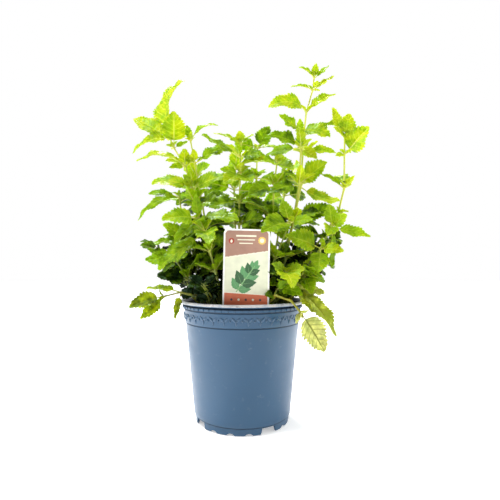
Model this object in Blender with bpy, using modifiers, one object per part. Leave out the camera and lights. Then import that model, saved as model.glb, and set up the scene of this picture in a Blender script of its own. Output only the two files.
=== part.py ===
"""Potted lemon balm: a plastic grow pot filled with soil, a stick-in plant label and leafy stems.

Every table and dimension below is in millimetres, and MM turns them into metres. +Z is up, the origin is on
the pot's axis at the level of its feet, and -Y is the side that shows the label.
"""

import itertools
import math
import random
from dataclasses import dataclass, replace

import bmesh
import bpy
from mathutils import Matrix, Quaternion, Vector
from mathutils.bvhtree import BVHTree

MM = 0.001

# Pot: heights of its steps and the outer radius at each
POT_STEPS = 32
FOOT_HEIGHT = 5.9
FOOT_RADIUS = 44.6
WALL_FOOT_RADIUS = 45.6
BAND_LOW = 91.8
WALL_TOP_RADIUS = 54.4
BAND_LOW_RADIUS = 55.1
BAND_HIGH = 104.7
BAND_HIGH_RADIUS = 56.3
COLLAR_HIGH = 108.9
COLLAR_RADIUS = 57.4
LIP_RADIUS = 60.0
LIP_LOW = 109.6
POT_HEIGHT = 112.6
LIP_WIDTH = 3.0
LIP_ROUNDING = 1.6
STEP_EASE = 0.5
WALL = 1.4
BASE_THICKNESS = 1.6
FOOT_WALL = 2.2

# Foot ring: four wide gaps that drain the pot, and three shallow scallops under each foot between them
FOOT_COUNT = 4
FIRST_GAP_DEGREES = -58.5
GAP_WIDTH = 13.5
GAP_REACH = 10.0
GAP_ROOF = 0.9
SCALLOPS_PER_FOOT = 3
SCALLOP_SPREAD_DEGREES = 21.0
SCALLOP_RADIUS = 4.6
SCALLOP_RISE = 1.7
SCALLOP_REACH = 12.0
CUTTER_SIDES = 10
DRAIN_HOLES = 6
DRAIN_HOLE_RADIUS = 3.5
DRAIN_RING_RADIUS = 27.0

# Soil: it fills the pot to just under the lip, with a lumpy top
GAP = 0.3
SOIL_SLACK = 0.55
SOIL_EDGE_HEIGHT = 106.0
SOIL_EDGE_ROUND = 1.0
SOIL_CROWN = 2.2
SOIL_STEPS = 18
SOIL_RINGS = (18.0, 34.0, 48.0)
SOIL_LUMP = 1.0
STEM_HOLE_FLOOR = 96.0
STEM_HOLE_CLEARANCE = 0.8

# Plant label: a card with rounded top corners over a pointed stake
LABEL_WIDTH = 40.4
LABEL_CARD_LOW = 108.6
LABEL_TOP = 177.0
LABEL_POINT = 80.0
LABEL_STAKE_WIDTH = 11.0
LABEL_TAPER = 9.0
LABEL_CORNER = 4.0
LABEL_CORNER_STEPS = 4
LABEL_SHOULDER = 1.0
LABEL_THICKNESS = 0.8
LABEL_X = 2.8
LABEL_Y = -43.0
LABEL_LEAN_DEGREES = 1.2
LABEL_SLOT = (13.0, 2.2, 76.0)
LABEL_SLOT_FLOOR = 78.0

# Stems and leaves
SEED = 5003
STEM_ROOT = 97.0
STEM_COLLAR = 111.0
STEM_RADIUS = 1.5
STEM_TIP_RADIUS = 0.85
NODE_HEIGHT = 1.3
BLADE_THICKNESS = 0.7
PETIOLE_HALF_WIDTH = 0.85
PETIOLE_SHARE = 0.22
STALK_POINTS = 2
TOOTH_DEPTH = 0.2
TEETH_OF_LENGTH = ((28.0, 3), (15.0, 2), (0.0, 1))
PAD = 0.75
PAIR_ARCH = 60.0
PAIR_RISE = -8.0
OUTWARD_FACE = (0.95, 0.7)

LEAF_GREEN = (0.30, 0.50, 0.04)
POT_BLUE = (0.12, 0.23, 0.36)
SOIL_BROWN = (0.035, 0.024, 0.016)
LABEL_WHITE = (0.82, 0.80, 0.76)

# Ways that a leaf's upper side can look; a leaf with none looks up and away from the pot's axis
TO_FRONT = (0.0, -0.85, 0.5)
TO_FRONT_LEFT = (-0.4, -0.8, 0.5)
TO_FRONT_RIGHT = (0.4, -0.8, 0.5)
UPWARD = (0.0, -0.5, 0.85)
HALF_UP = (0.0, -0.7, 0.7)
TO_SIDE = (-0.8, -0.6, 0.1)
STANDING = (0.0, -1.0, 0.15)
TO_BACK = (-0.2, 0.9, 0.35)


@dataclass(frozen=True)
class Leaf:
    """A leaf by where its tip is from its joint and which way its upper side looks. The arch is how many
    degrees it bends over on its way, and the width is a share of the blade's length."""

    reach: tuple
    face: tuple = None
    arch: float = PAIR_ARCH
    width: float = 0.82
    fold: float = 12.0
    twist: float = 0.0
    wave: float = 0.04
    phase: float = 0.0


def lone(azimuth, length, rise=PAIR_RISE):
    """One leaf that looks up and outwards. Azimuth 0 points to +X and 90 to +Y."""
    across, up = math.radians(azimuth), math.radians(rise)
    flat = length * math.cos(up)
    return Leaf((flat * math.cos(across), flat * math.sin(across), length * math.sin(up)))


def pair(azimuth, length, rise=PAIR_RISE):
    """The two opposite leaves of one joint."""
    return lone(azimuth, length, rise), lone(azimuth + 180, 0.92 * length, rise)


# Each stem is its joints from the soil upwards: (x, y, z) and the leaves that grow there
STEMS = {
    "stem_tall_right": [
        ((24, 6, STEM_COLLAR),),
        ((38, 2, 149), lone(75, 36), Leaf((26, -20, -2), TO_FRONT, 40, 0.8)),
        (
            (50, 0, 187),
            Leaf((37, -14, 15), TO_FRONT, 25, 0.66),
            Leaf((28, 8, 0), UPWARD, 30, 0.6),
            Leaf((-22, 18, 10)),
        ),
        ((58.5, 0, 226), Leaf((22, -18, 17), TO_FRONT, 30, 1.0), Leaf((-22, 22, 8))),
        ((60, 0, 257), Leaf((35, 8, 2), HALF_UP, 40, 0.5)),
        ((61, 0, 275), Leaf((36, 8, 20), TO_FRONT, -12, 0.4)),
        ((64, 0, 298.5), Leaf((-39, -10, 1), TO_FRONT, 95, 0.72), Leaf((29, -2, 18), HALF_UP, 50, 0.52)),
        ((70.5, 0, 321), Leaf((-22, -2, 2), HALF_UP, 60, 0.4), Leaf((21, -2, 14), HALF_UP, 10, 0.42)),
        (
            (72, 0, 333.5),
            Leaf((-15, -3, 10), HALF_UP, 50, 0.6),
            Leaf((14, -3, 11), HALF_UP, -10, 0.55),
            Leaf((1, -4, 13), STANDING, 10, 0.75),
        ),
    ],
    "stem_lit_right": [
        ((30, -10, STEM_COLLAR),),
        ((41, -14, 152), lone(330, 34), Leaf((-4, -20, 14), TO_FRONT, 30)),
        ((48, -16, 186), *pair(200, 34)),
        ((54, -15, 222), Leaf((-28, -8, -8), TO_FRONT, 45, 0.75), Leaf((36, -10, -17), HALF_UP, -45, 0.62)),
        (
            (56, -15, 258),
            Leaf((-33, -6, 10), TO_FRONT, 50, 0.6),
            Leaf((13, -10, -13), STANDING, 10, 0.8),
            Leaf((-33, 8, -4), TO_FRONT, 30, 0.5),
        ),
        (
            (55, -15, 273),
            Leaf((-20, -6, 15), TO_FRONT_RIGHT, 10, 0.75),
            Leaf((26, -12, -9), TO_FRONT, 70, 0.95),
            Leaf((-1, -8, 10), STANDING, 10, 0.8),
        ),
    ],
    "stem_far_right": [
        ((38, 6, STEM_COLLAR),),
        ((58, -4, 148), lone(20, 36), lone(60, 30)),
        ((77, -14, 173), Leaf((-18, 22, 10)), Leaf((20, 24, -2))),
        ((89.5, -20, 194),),
        (
            (95.5, -20, 218),
            Leaf((-20, 3, 14), HALF_UP, 40, 0.4),
            Leaf((9, -3, 11), TO_FRONT_LEFT, 10, 0.65),
            Leaf((-2, 20, 16), UPWARD, 60, 0.9),
        ),
        (
            (96, -20, 250),
            Leaf((-10, -6, -3), TO_FRONT, 25, 0.7),
            Leaf((22, -4, 25), TO_BACK, 12, 1.05),
        ),
        (
            (96.5, -20, 266),
            Leaf((-11, 0, 29), TO_FRONT_LEFT, 8, 0.42),
            Leaf((7, -6, 20), STANDING, 12, 1.05),
            Leaf((-13, -8, 8), TO_FRONT, 20, 0.85),
            Leaf((6, 20, 8)),
        ),
    ],
    "stem_right_front": [
        ((36, -22, STEM_COLLAR),),
        ((52, -28, 136), lone(300, 32), Leaf((24, -8, 10), TO_FRONT, 30)),
        (
            (71, -31, 161),
            Leaf((-32, -10, 11), TO_FRONT, 30, 0.85),
            Leaf((-4, -11, -21), STANDING, 20, 1.0),
            Leaf((17, -14, -3), TO_FRONT, 30, 0.85),
        ),
        (
            (81, -31, 180.6),
            Leaf((33, -6, -9), TO_FRONT, 5, 0.5),
            Leaf((-3, -4, 20), TO_FRONT, 30, 0.9),
            Leaf((11, -12, 8), TO_FRONT_RIGHT, 25, 0.9),
            Leaf((1, -8, -36), TO_FRONT_RIGHT, 30, 0.3),
            Leaf((-8, -20, -9), TO_FRONT, 40, 0.85),
        ),
    ],
    "stem_centre_front": [
        ((15, -22, STEM_COLLAR),),
        ((30, -28, 152), lone(100, 28)),
        (
            (43, -31, 184),
            Leaf((-27, -20, -10), TO_FRONT, 50, 0.9),
            Leaf((19, -12, 2), TO_FRONT, 30, 0.7),
            Leaf((-6, 6, 22), TO_FRONT, 20, 0.7),
        ),
    ],
    "stem_centre_mid": [
        ((12, -4, STEM_COLLAR),),
        ((22, -8, 150), lone(250, 30)),
        ((29, -9, 190), *pair(240, 36), Leaf((16, -24, -6), TO_FRONT, 40)),
        ((30.7, -9, 222), Leaf((-22, -16, -11), TO_FRONT, 45, 0.85), Leaf((18, 8, 10), UPWARD, 40)),
        (
            (33.6, -8, 245),
            Leaf((-37, 4, -2), HALF_UP, 62, 0.68),
            Leaf((14, -16, -10), TO_FRONT, 35, 0.8),
            Leaf((-14, -16, -4), TO_FRONT, 35, 0.9),
            Leaf((5, 4, 12), TO_FRONT, 10, 0.7),
        ),
    ],
    "stem_centre_left": [
        ((-4, 4, STEM_COLLAR),),
        ((-4, 2, 150), *pair(200, 36)),
        ((-3, 0, 186), *pair(215, 38), Leaf((24, -22, 0), TO_FRONT, 40)),
        ((-3, 0, 208), Leaf((-28, -20, -8), TO_FRONT, 40, 0.8), Leaf((30, -12, -6), TO_FRONT, 40, 0.75)),
        (
            (-2, 0, 236),
            Leaf((-15, -18, -13), TO_FRONT, 35, 0.85),
            Leaf((12, -19, -15), TO_FRONT, 35, 0.9),
            Leaf((-19, -6, 6), TO_FRONT, 25, 0.7),
        ),
        ((-2, 0, 253), Leaf((-39, 6, 25), UPWARD, 5, 0.42), Leaf((22, -10, -6), TO_FRONT, 40, 0.8)),
        (
            (-1, 0, 267),
            Leaf((-2, -2, 12), STANDING, 10, 1.1),
            Leaf((-27, -3, 9), UPWARD, 35, 0.35),
            Leaf((12, -5, 7), UPWARD, 50, 0.85),
            Leaf((-12, -7, 0), TO_FRONT, 35, 0.8),
        ),
    ],
    "stem_centre_back": [
        ((8, 22, STEM_COLLAR),),
        ((12, 26, 155), *pair(60, 36)),
        (
            (14, 28, 200),
            *pair(150, 40),
            Leaf((-28, -16, 10), TO_FRONT, 30),
            Leaf((22, -18, 8), TO_FRONT, 30),
        ),
        ((15, 27, 238), *pair(35, 34)),
        (
            (16, 26, 270),
            Leaf((12, -4, 23), STANDING, 12, 0.9),
            Leaf((-24, 2, 6)),
            Leaf((26, 6, 0), UPWARD),
        ),
    ],
    "stem_left_main": [
        ((-18, -6, STEM_COLLAR),),
        ((-29, -6, 148), lone(235, 34), lone(300, 30)),
        ((-39, -3, 180), *pair(80, 34), Leaf((-24, -18, -4), TO_FRONT, 40)),
        ((-46.5, 3, 206), Leaf((-8, 24, 8))),
        (
            (-50, 7, 222),
            Leaf((36, -12, 12), TO_FRONT, 38, 0.7),
            Leaf((-40, -6, 5), HALF_UP, 72, 0.68),
            Leaf((-8, -10, 13), TO_FRONT, 25, 0.75),
        ),
        ((-58.5, 15, 247), Leaf((-49, -4, 5), UPWARD, 90, 0.46), Leaf((-15, -8, -2), TO_FRONT, 30, 0.75)),
        ((-72, 21, 269), Leaf((1, -10, 35), TO_BACK, 10, 1.05), Leaf((14, 0, 7), TO_FRONT, 20, 0.7)),
        (
            (-76.5, 24, 280),
            Leaf((12, 12, 69), TO_SIDE, 72, 0.7),
            Leaf((-26, -8, -6), TO_FRONT, 42, 0.85),
            Leaf((-43, 0, -9), UPWARD, 60, 0.36),
            Leaf((-42, 2, 25), TO_FRONT, 20, 0.62),
        ),
    ],
    "stem_left_slim": [
        ((-24, 12, STEM_COLLAR),),
        ((-33, 14, 160), lone(250, 36), lone(120, 34)),
        ((-41, 15, 208), *pair(110, 36), Leaf((28, -18, 6), TO_FRONT, 30)),
        ((-49, 15, 251), Leaf((37, -6, 22), TO_FRONT, 42, 0.5), Leaf((-14, -4, 9), TO_FRONT, 20, 0.8)),
        ((-53.5, 15, 274), Leaf((28, -2, 17), UPWARD, 85, 0.3), Leaf((-4, 0, 17), STANDING, 10, 0.6)),
    ],
    "stem_left_front": [
        ((-18, -26, STEM_COLLAR),),
        ((-24, -31, 140), lone(120, 28)),
        ((-29, -34, 158),),
        (
            (-33, -35, 175),
            Leaf((-40, -11, -32), TO_FRONT_LEFT, 18, 0.55),
            Leaf((20, -4, -12), TO_FRONT, 30, 0.8),
            Leaf((6, -42, -12), TO_FRONT, 45, 0.6),
        ),
        (
            (-40, -36, 187),
            Leaf((-29, -14, -2), TO_FRONT, 50, 0.85),
            Leaf((-1, -6, 21), STANDING, 6, 0.6),
            Leaf((36, -14, -3), UPWARD, 45, 0.7),
            Leaf((9, -13, -4), TO_FRONT, 30, 0.9),
            Leaf((-19, -8, -22), TO_FRONT_LEFT, 20, 0.65),
        ),
    ],
    "stem_left_low": [
        ((-32, 2, STEM_COLLAR),),
        ((-46, 3, 140), lone(235, 34), Leaf((-24, 12, 12), TO_FRONT, 30)),
        (
            (-57, 4, 172),
            Leaf((-43, 2, -7), UPWARD, 15, 0.26),
            Leaf((-20, -10, 14), TO_FRONT, 30, 0.85),
            Leaf((-18, -14, -4), TO_FRONT, 35, 0.9),
        ),
        (
            (-63, 4, 214),
            Leaf((-36, -2, -14), UPWARD, 35, 0.4),
            Leaf((-36, -8, -28), TO_FRONT_LEFT, 80, 0.28),
            Leaf((-32, 5, 5), HALF_UP, 30, 0.45),
            Leaf((-16, -10, -14), TO_FRONT, 30, 0.85),
        ),
    ],
    "stem_left_outer": [
        ((-38, -12, STEM_COLLAR),),
        ((-50, -15, 132), Leaf((-29, -8, 1), TO_FRONT_LEFT, 50, 0.75), Leaf((6, 22, 4))),
        (
            (-62, -18, 150),
            Leaf((-27, -7, 1), TO_FRONT, 42, 0.75),
            Leaf((-27, -2, 11), TO_FRONT, 20, 0.5),
            Leaf((12, -14, 6), TO_FRONT, 35, 0.8),
            Leaf((-8, -14, -10), TO_FRONT_LEFT, 30, 0.8),
        ),
    ],
    "trailing_left": [
        ((-40, -22, STEM_COLLAR),),
        ((-47, -26, 118.5),),
        (
            (-56, -29, 121),
            Leaf((-32, 4, 3), HALF_UP, 50, 0.3),
            Leaf((-3, -12, -22), TO_FRONT_LEFT, 10, 0.4),
        ),
        (
            (-70, -30, 117.5),
            Leaf((-31, -5, -9), TO_FRONT, 30, 0.7),
            Leaf((-21, -10, -17), TO_FRONT, 15, 0.62),
        ),
    ],
    "trailing_right": [
        ((22, -37, STEM_COLLAR),),
        ((29, -42.5, 119),),
        ((41, -49, 115.5),),
        (
            (48, -56, 107),
            Leaf((19, -6, -32), TO_FRONT_RIGHT, 15, 1.0),
            Leaf((-3, -1, -10), TO_FRONT, 10, 0.5),
        ),
    ],
    "stem_right_low": [
        ((42, -18, STEM_COLLAR),),
        (
            (50, -24, 124),
            Leaf((30, -26, -38), TO_FRONT_RIGHT, 50, 0.4),
            Leaf((11, -18, -17), TO_FRONT_RIGHT, 50, 0.9),
            Leaf((24, -4, -6), TO_FRONT_RIGHT, 50, 0.7),
        ),
        (
            (57, -28, 137),
            Leaf((16, -8, 3), TO_FRONT, 40, 0.8),
            Leaf((-15, -12, 5), TO_FRONT, 30, 0.9),
            Leaf((4, -17, -12), TO_FRONT, 30, 0.9),
            Leaf((6, 20, 6)),
        ),
    ],
    "stem_front_low": [
        ((26, -34, STEM_COLLAR),),
        ((33, -38, 126), Leaf((18, -14, -5), TO_FRONT, 50, 0.8), Leaf((-8, 18, 4))),
        (
            (38, -39, 139),
            Leaf((16, -9, 4), TO_FRONT, 35, 0.95),
            Leaf((-12, -10, 8), TO_FRONT, 30, 0.95),
            Leaf((3, -36, -10), TO_FRONT, 45, 0.7),
        ),
    ],
    "stem_inner_left": [
        ((-12, 18, STEM_COLLAR),),
        ((-18, 20, 134), lone(245, 36), lone(160, 36)),
        ((-22, 21, 158), *pair(100, 32), Leaf((-16, -28, 8), TO_FRONT), Leaf((14, -26, -4), TO_FRONT)),
    ],
    "stem_back_left": [
        ((-26, 32, STEM_COLLAR),),
        ((-36, 42, 150), *pair(130, 38)),
        ((-44, 49, 188), *pair(45, 36)),
        ((-49, 53, 222), *pair(150, 34)),
        ((-51, 54, 246), *pair(60, 30, 40)),
    ],
    "stem_back_mid": [
        ((-4, 40, STEM_COLLAR),),
        ((-6, 45, 152), *pair(20, 38)),
        ((-8, 46, 195), *pair(95, 33)),
        ((-9, 47, 230), *pair(15, 36)),
        ((-8, 47, 252), *pair(100, 30, 40)),
    ],
    "stem_back_right": [
        ((24, 36, STEM_COLLAR),),
        ((34, 44, 150), *pair(120, 36)),
        ((42, 49, 190), *pair(40, 36)),
        ((47, 51, 224), *pair(130, 34)),
        ((49, 51, 248), *pair(50, 30, 45)),
    ],
    "stem_back_low": [
        ((-42, 16, STEM_COLLAR),),
        ((-56, 30, 140), *pair(170, 36)),
        ((-64, 36, 165), *pair(110, 36), Leaf((-16, 8, 18))),
    ],
    "stem_back_side": [
        ((41, 20, STEM_COLLAR),),
        ((58, 32, 140), *pair(20, 36)),
        ((66, 38, 166), *pair(70, 36), Leaf((14, 8, 18))),
    ],
}


def leaf_axes(leaf, joint):
    """The direction of the leaf's tip, its upper side and its left side."""
    along = Vector(leaf.reach).normalized()
    outward, up = OUTWARD_FACE
    face = Vector(leaf.face) if leaf.face else Vector((*(joint.xy.normalized() * outward), up))
    upper = (face - face.dot(along) * along).normalized()
    return along, upper, along.cross(upper)


def half_width(leaf, s):
    """Half the blade's width at share s of its length: broad near the base and blunt at the tip."""
    blade = Vector(leaf.reach).length * (1 - PETIOLE_SHARE)
    return 0.5 * leaf.width * blade * math.sin(math.pi * min(max(s, 0.0), 1.0) ** 0.62) ** 0.75


def leaf_point(leaf, joint, s, across):
    """A point of the leaf and the blade's normal there. Share s runs from 0 to 1 over the blade and is below
    0 on the leaf stalk, down to -1 at the joint. Across is in millimetres from the midrib."""
    along, upper, side = leaf_axes(leaf, joint)
    length = Vector(leaf.reach).length
    share = PETIOLE_SHARE * (1 + s) if s < 0 else PETIOLE_SHARE + (1 - PETIOLE_SHARE) * s
    half_arch = math.radians(leaf.arch or 0.1) / 2
    radius = length / (2 * math.sin(half_arch))
    turned = half_arch * (1 - 2 * share)
    spine = joint + along * (length / 2 - radius * math.sin(turned))
    spine = spine + upper * radius * (math.cos(turned) - math.cos(half_arch))
    tangent = along * math.cos(turned) + upper * math.sin(turned)
    normal = upper * math.cos(turned) - along * math.sin(turned)
    turn = Quaternion(tangent, math.radians(leaf.twist) * max(s, 0.0))
    normal, sideways = turn @ normal, turn @ side
    if s <= 0:
        return spine + sideways * across, normal
    reach = min(abs(across) / max(half_width(leaf, s), PETIOLE_HALF_WIDTH), 1.0)
    fold = math.radians(leaf.fold)
    ripple = math.sin(4.6 * math.pi * s + leaf.phase + (1.3 if across < 0 else 0.0))
    lift = abs(across) * math.sin(fold) + leaf.wave * length * ripple * reach**2
    return spine + sideways * across * math.cos(fold) + normal * lift, normal


def leaf_surface(leaf, joint):
    """The leaf's points, each with the normal there, and the triangles between them. The stalk starts as
    two points at the joint. Over the blade each row is right, midrib and left, and the rows end on a tooth
    and in a notch by turns, which gives the toothed edge. The tip is one point."""
    teeth = next(count for length, count in TEETH_OF_LENGTH if Vector(leaf.reach).length >= length)
    stations = [(0.0, PETIOLE_HALF_WIDTH)]
    for step in range(1, 2 * teeth):
        s = step / (2 * teeth)
        stations.append((s, half_width(leaf, s) * (1.0 if step % 2 else 1.0 - TOOTH_DEPTH)))
    points = [leaf_point(leaf, joint, -1.0, side * PETIOLE_HALF_WIDTH) for side in (-1, 1)]
    points += [leaf_point(leaf, joint, s, side * reach) for s, reach in stations for side in (-1, 0, 1)]
    points.append(leaf_point(leaf, joint, 1.0, 0.0))
    faces = [(0, 3, 2), (0, 1, 3), (1, 4, 3)]
    for a in range(STALK_POINTS, 3 * len(stations) - 1, 3):
        b = a + 3
        faces += [(a, a + 1, b), (a + 1, b + 1, b), (a + 1, a + 2, b + 1), (a + 2, b + 2, b + 1)]
    last, tip = 3 * len(stations) - 1, 3 * len(stations) + 2
    faces += [(last, last + 1, tip), (last + 1, last + 2, tip)]
    return points, faces


def shell_of(points, faces, pad):
    """A closed shell round a leaf's surface at this distance, for the test that leaves keep clear."""
    size = len(points)
    top = [point + normal * pad for point, normal in points]
    bottom = [point - normal * pad for point, normal in points]
    both = list(faces) + [tuple(size + corner for corner in reversed(face)) for face in faces]
    edges = {}
    for face in faces:
        for a, b in zip(face, face[1:] + face[:1]):
            edges[frozenset((a, b))] = edges.get(frozenset((a, b)), 0) + 1
    for edge, count in edges.items():
        if count == 1:
            a, b = edge
            both.append((a, b, size + b, size + a))
    return top + bottom, both


def tube_shell(line, radii, pad, sides=6):
    """A closed tube round a stem at this distance from its surface."""
    points, faces = [], []
    for index, (centre, radius) in enumerate(zip(line, radii)):
        along = line[min(index + 1, len(line) - 1)] - line[max(index - 1, 0)]
        turn = along.to_track_quat("Z", "X")
        for side in range(sides):
            angle = 2 * math.pi * side / sides
            points.append(centre + turn @ (Vector((math.cos(angle), math.sin(angle), 0)) * (radius + pad)))
    for ring in range(len(line) - 1):
        for side in range(sides):
            a, b = ring * sides + side, ring * sides + (side + 1) % sides
            faces.append((a, b, b + sides, a + sides))
    faces += [tuple(range(sides)), tuple(range(len(points) - sides, len(points)))]
    return points, faces


class Obstacle:
    """A closed shell that other shells are tested against."""

    def __init__(self, points, faces, owner):
        self.owner = owner
        self.tree = BVHTree.FromPolygons(points, faces)
        self.low = [min(p[axis] for p in points) for axis in range(3)]
        self.high = [max(p[axis] for p in points) for axis in range(3)]

    def meets(self, other):
        apart = any(self.low[a] > other.high[a] or other.low[a] > self.high[a] for a in range(3))
        return not apart and bool(self.tree.overlap(other.tree))


def keep_out():
    """The pot up to its lip, and the label, as obstacles that no leaf may cross."""
    line = [Vector((0, 0, 1.0)), Vector((0, 0, POT_HEIGHT + 0.6))]
    pot = Obstacle(*tube_shell(line, [LIP_RADIUS, LIP_RADIUS], 0.9, sides=32), "pot")
    half = LABEL_WIDTH / 2 + 0.8
    corners = [
        label_matrix() @ Vector((x, y, z))
        for z in (100.0, LABEL_TOP + 0.8)
        for x, y in ((-half, -1.2), (half, -1.2), (half, 1.2), (-half, 1.2))
    ]
    faces = [(0, 1, 2, 3), (4, 5, 6, 7), (0, 1, 5, 4), (1, 2, 6, 5), (2, 3, 7, 6), (3, 0, 4, 7)]
    return [pot, Obstacle(corners, faces, "label")]


def label_matrix():
    """Where the label stands, leaning a little in its own plane about its foot."""
    lean = Matrix.Rotation(math.radians(LABEL_LEAN_DEGREES), 4, "Y")
    foot = Vector((LABEL_X, LABEL_Y, LABEL_CARD_LOW))
    return Matrix.Translation(foot) @ lean @ Matrix.Translation((0, 0, -LABEL_CARD_LOW))


def swung(reach, turn, tilt):
    """The reach turned about the vertical and tilted up, both in degrees."""
    reach = Vector(reach)
    side = Vector((-reach.y, reach.x, 0.0)) if reach.xy.length > 1 else Vector((1, 0, 0))
    return Quaternion((0, 0, 1), math.radians(turn)) @ (Quaternion(side, math.radians(-tilt)) @ reach)


def nudges():
    """Small changes of direction to try on a leaf that would cross another, the smallest first."""
    yield 0.0, 0.0, 1.0
    for shrink in (1.0, 0.86, 0.72):
        for size in (6, 12, 18, 25, 33):
            for turn, tilt in ((0, 1), (0, -1), (1, 0), (-1, 0), (1, 1), (-1, 1), (1, -1), (-1, -1)):
                yield turn * size, tilt * size, shrink


def varied(leaf, chance):
    """The leaf with the small differences that no two leaves share."""
    return replace(
        leaf,
        reach=tuple(swung(leaf.reach, chance.uniform(-3, 3), 0.0)),
        fold=chance.uniform(6, 18),
        twist=chance.uniform(-14, 14),
        wave=chance.uniform(0.02, 0.045),
        phase=chance.uniform(0, 2 * math.pi),
    )


def settled(leaf, joint, owner, obstacles, blades):
    """The leaf turned as little as it takes to keep clear of other stems, the pot, the label and the blades
    of its own stem, with its shell and its blade's; None where there is no room."""
    others = [obstacle for obstacle in obstacles if obstacle.owner != owner]
    for turn, tilt, shrink in nudges():
        tried = replace(leaf, reach=tuple(swung(leaf.reach, turn, tilt) * shrink))
        points, faces = leaf_surface(tried, joint)
        shell = Obstacle(*shell_of(points, faces, PAD), owner)
        blade_faces = [face for face in faces if min(face) >= STALK_POINTS]
        blade = Obstacle(*shell_of(points, blade_faces, BLADE_THICKNESS / 2), owner)
        crosses = any(other.meets(shell) for other in others) or any(near.meets(blade) for near in blades)
        if not crosses:
            return tried, shell, blade
    return None


def stem_lines():
    """Each stem's centre line and radii, from its root in the soil to its tip."""
    lines = {}
    for name, joints in STEMS.items():
        points = [Vector(joint[0]) for joint in joints]
        root = Vector((points[0].x, points[0].y, STEM_ROOT))
        line = [root, *points]
        shares = [index / (len(line) - 1) for index in range(len(line))]
        lines[name] = (line, [STEM_RADIUS + (STEM_TIP_RADIUS - STEM_RADIUS) * share for share in shares])
    return lines


def grown_leaves(lines):
    """Every leaf that finds room: for each stem, the leaves of each joint and the point they start from."""
    chance = random.Random(SEED)
    obstacles = keep_out()
    for name, (line, radii) in lines.items():
        obstacles.append(Obstacle(*tube_shell(line[1:], radii[1:], PAD / 2), name))
    grown = {}
    for name, joints in STEMS.items():
        grown[name], blades = [], []
        line = lines[name][0]
        for below, joint, (_, *leaves) in zip(line, line[1:], joints):
            start = joint - (joint - below).normalized() * NODE_HEIGHT / 2
            placed = []
            for leaf in leaves:
                found = settled(varied(leaf, chance), start, name, obstacles, blades)
                if found:
                    placed.append(found[0])
                    obstacles.append(found[1])
                    blades.append(found[2])
            grown[name].append((start, placed))
    return grown


def new_collection(name, parent):
    made = bpy.data.collections.new(name)
    parent.children.link(made)
    return made


def material(name, colour, roughness):
    made = bpy.data.materials.new(name)
    made.use_nodes = True
    shader = made.node_tree.nodes["Principled BSDF"]
    shader.inputs["Base Color"].default_value = (*colour, 1.0)
    shader.inputs["Roughness"].default_value = roughness
    return made


def new_object(name, data, collection, finish):
    made = bpy.data.objects.new(name, data)
    made.data.materials.append(finish)
    collection.objects.link(made)
    return made


def as_mesh_object(source, collection):
    """The evaluated object as a plain mesh in its place, and the source removed."""
    bpy.context.view_layer.update()
    evaluated = source.evaluated_get(bpy.context.evaluated_depsgraph_get())
    mesh = bpy.data.meshes.new_from_object(evaluated)
    shape = bmesh.new()
    shape.from_mesh(mesh)
    bmesh.ops.remove_doubles(shape, verts=shape.verts, dist=0.001 * MM)
    shape.to_mesh(mesh)
    shape.free()
    name, place = source.name, source.matrix_world.copy()
    bpy.data.objects.remove(source)
    made = bpy.data.objects.new(name, mesh)
    made.matrix_world = place
    collection.objects.link(made)
    return made


def turned(name, profile, steps, collection, finish):
    """A closed profile of (radius, height) turned about the Z axis."""
    mesh = bpy.data.meshes.new(name)
    points = [(radius * MM, 0.0, height * MM) for radius, height in profile]
    edges = [(index, index + 1) for index in range(len(points) - 1)]
    mesh.from_pydata(points, edges, [])
    made = new_object(name, mesh, collection, finish)
    screw = made.modifiers.new("turn", "SCREW")
    screw.steps = screw.render_steps = steps
    screw.use_merge_vertices = True
    screw.merge_threshold = 0.00001
    screw.use_normal_calculate = True
    return made


def cutter(name, collection):
    """The last primitive that was added, kept as a helper that only cuts."""
    made = bpy.context.object
    made.name = name
    for owner in list(made.users_collection):
        owner.objects.unlink(made)
    collection.objects.link(made)
    made.hide_render = True
    made.display_type = "WIRE"
    return made


def cut_by(target, collection):
    """Cuts every object of the collection from the target."""
    cut = target.modifiers.new("cut", "BOOLEAN")
    cut.operation = "DIFFERENCE"
    cut.operand_type = "COLLECTION"
    cut.collection = collection
    cut.solver = "EXACT"


def inner_wall(height):
    """The pot's inner radius at a height above its base."""
    share = (height - FOOT_HEIGHT) / (BAND_LOW - FOOT_HEIGHT)
    return WALL_FOOT_RADIUS + share * (WALL_TOP_RADIUS - WALL_FOOT_RADIUS) - WALL


def around(angle, radius, height):
    """The point at this angle and radius about the pot's axis."""
    return Vector((math.cos(angle) * radius, math.sin(angle) * radius, height))


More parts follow.
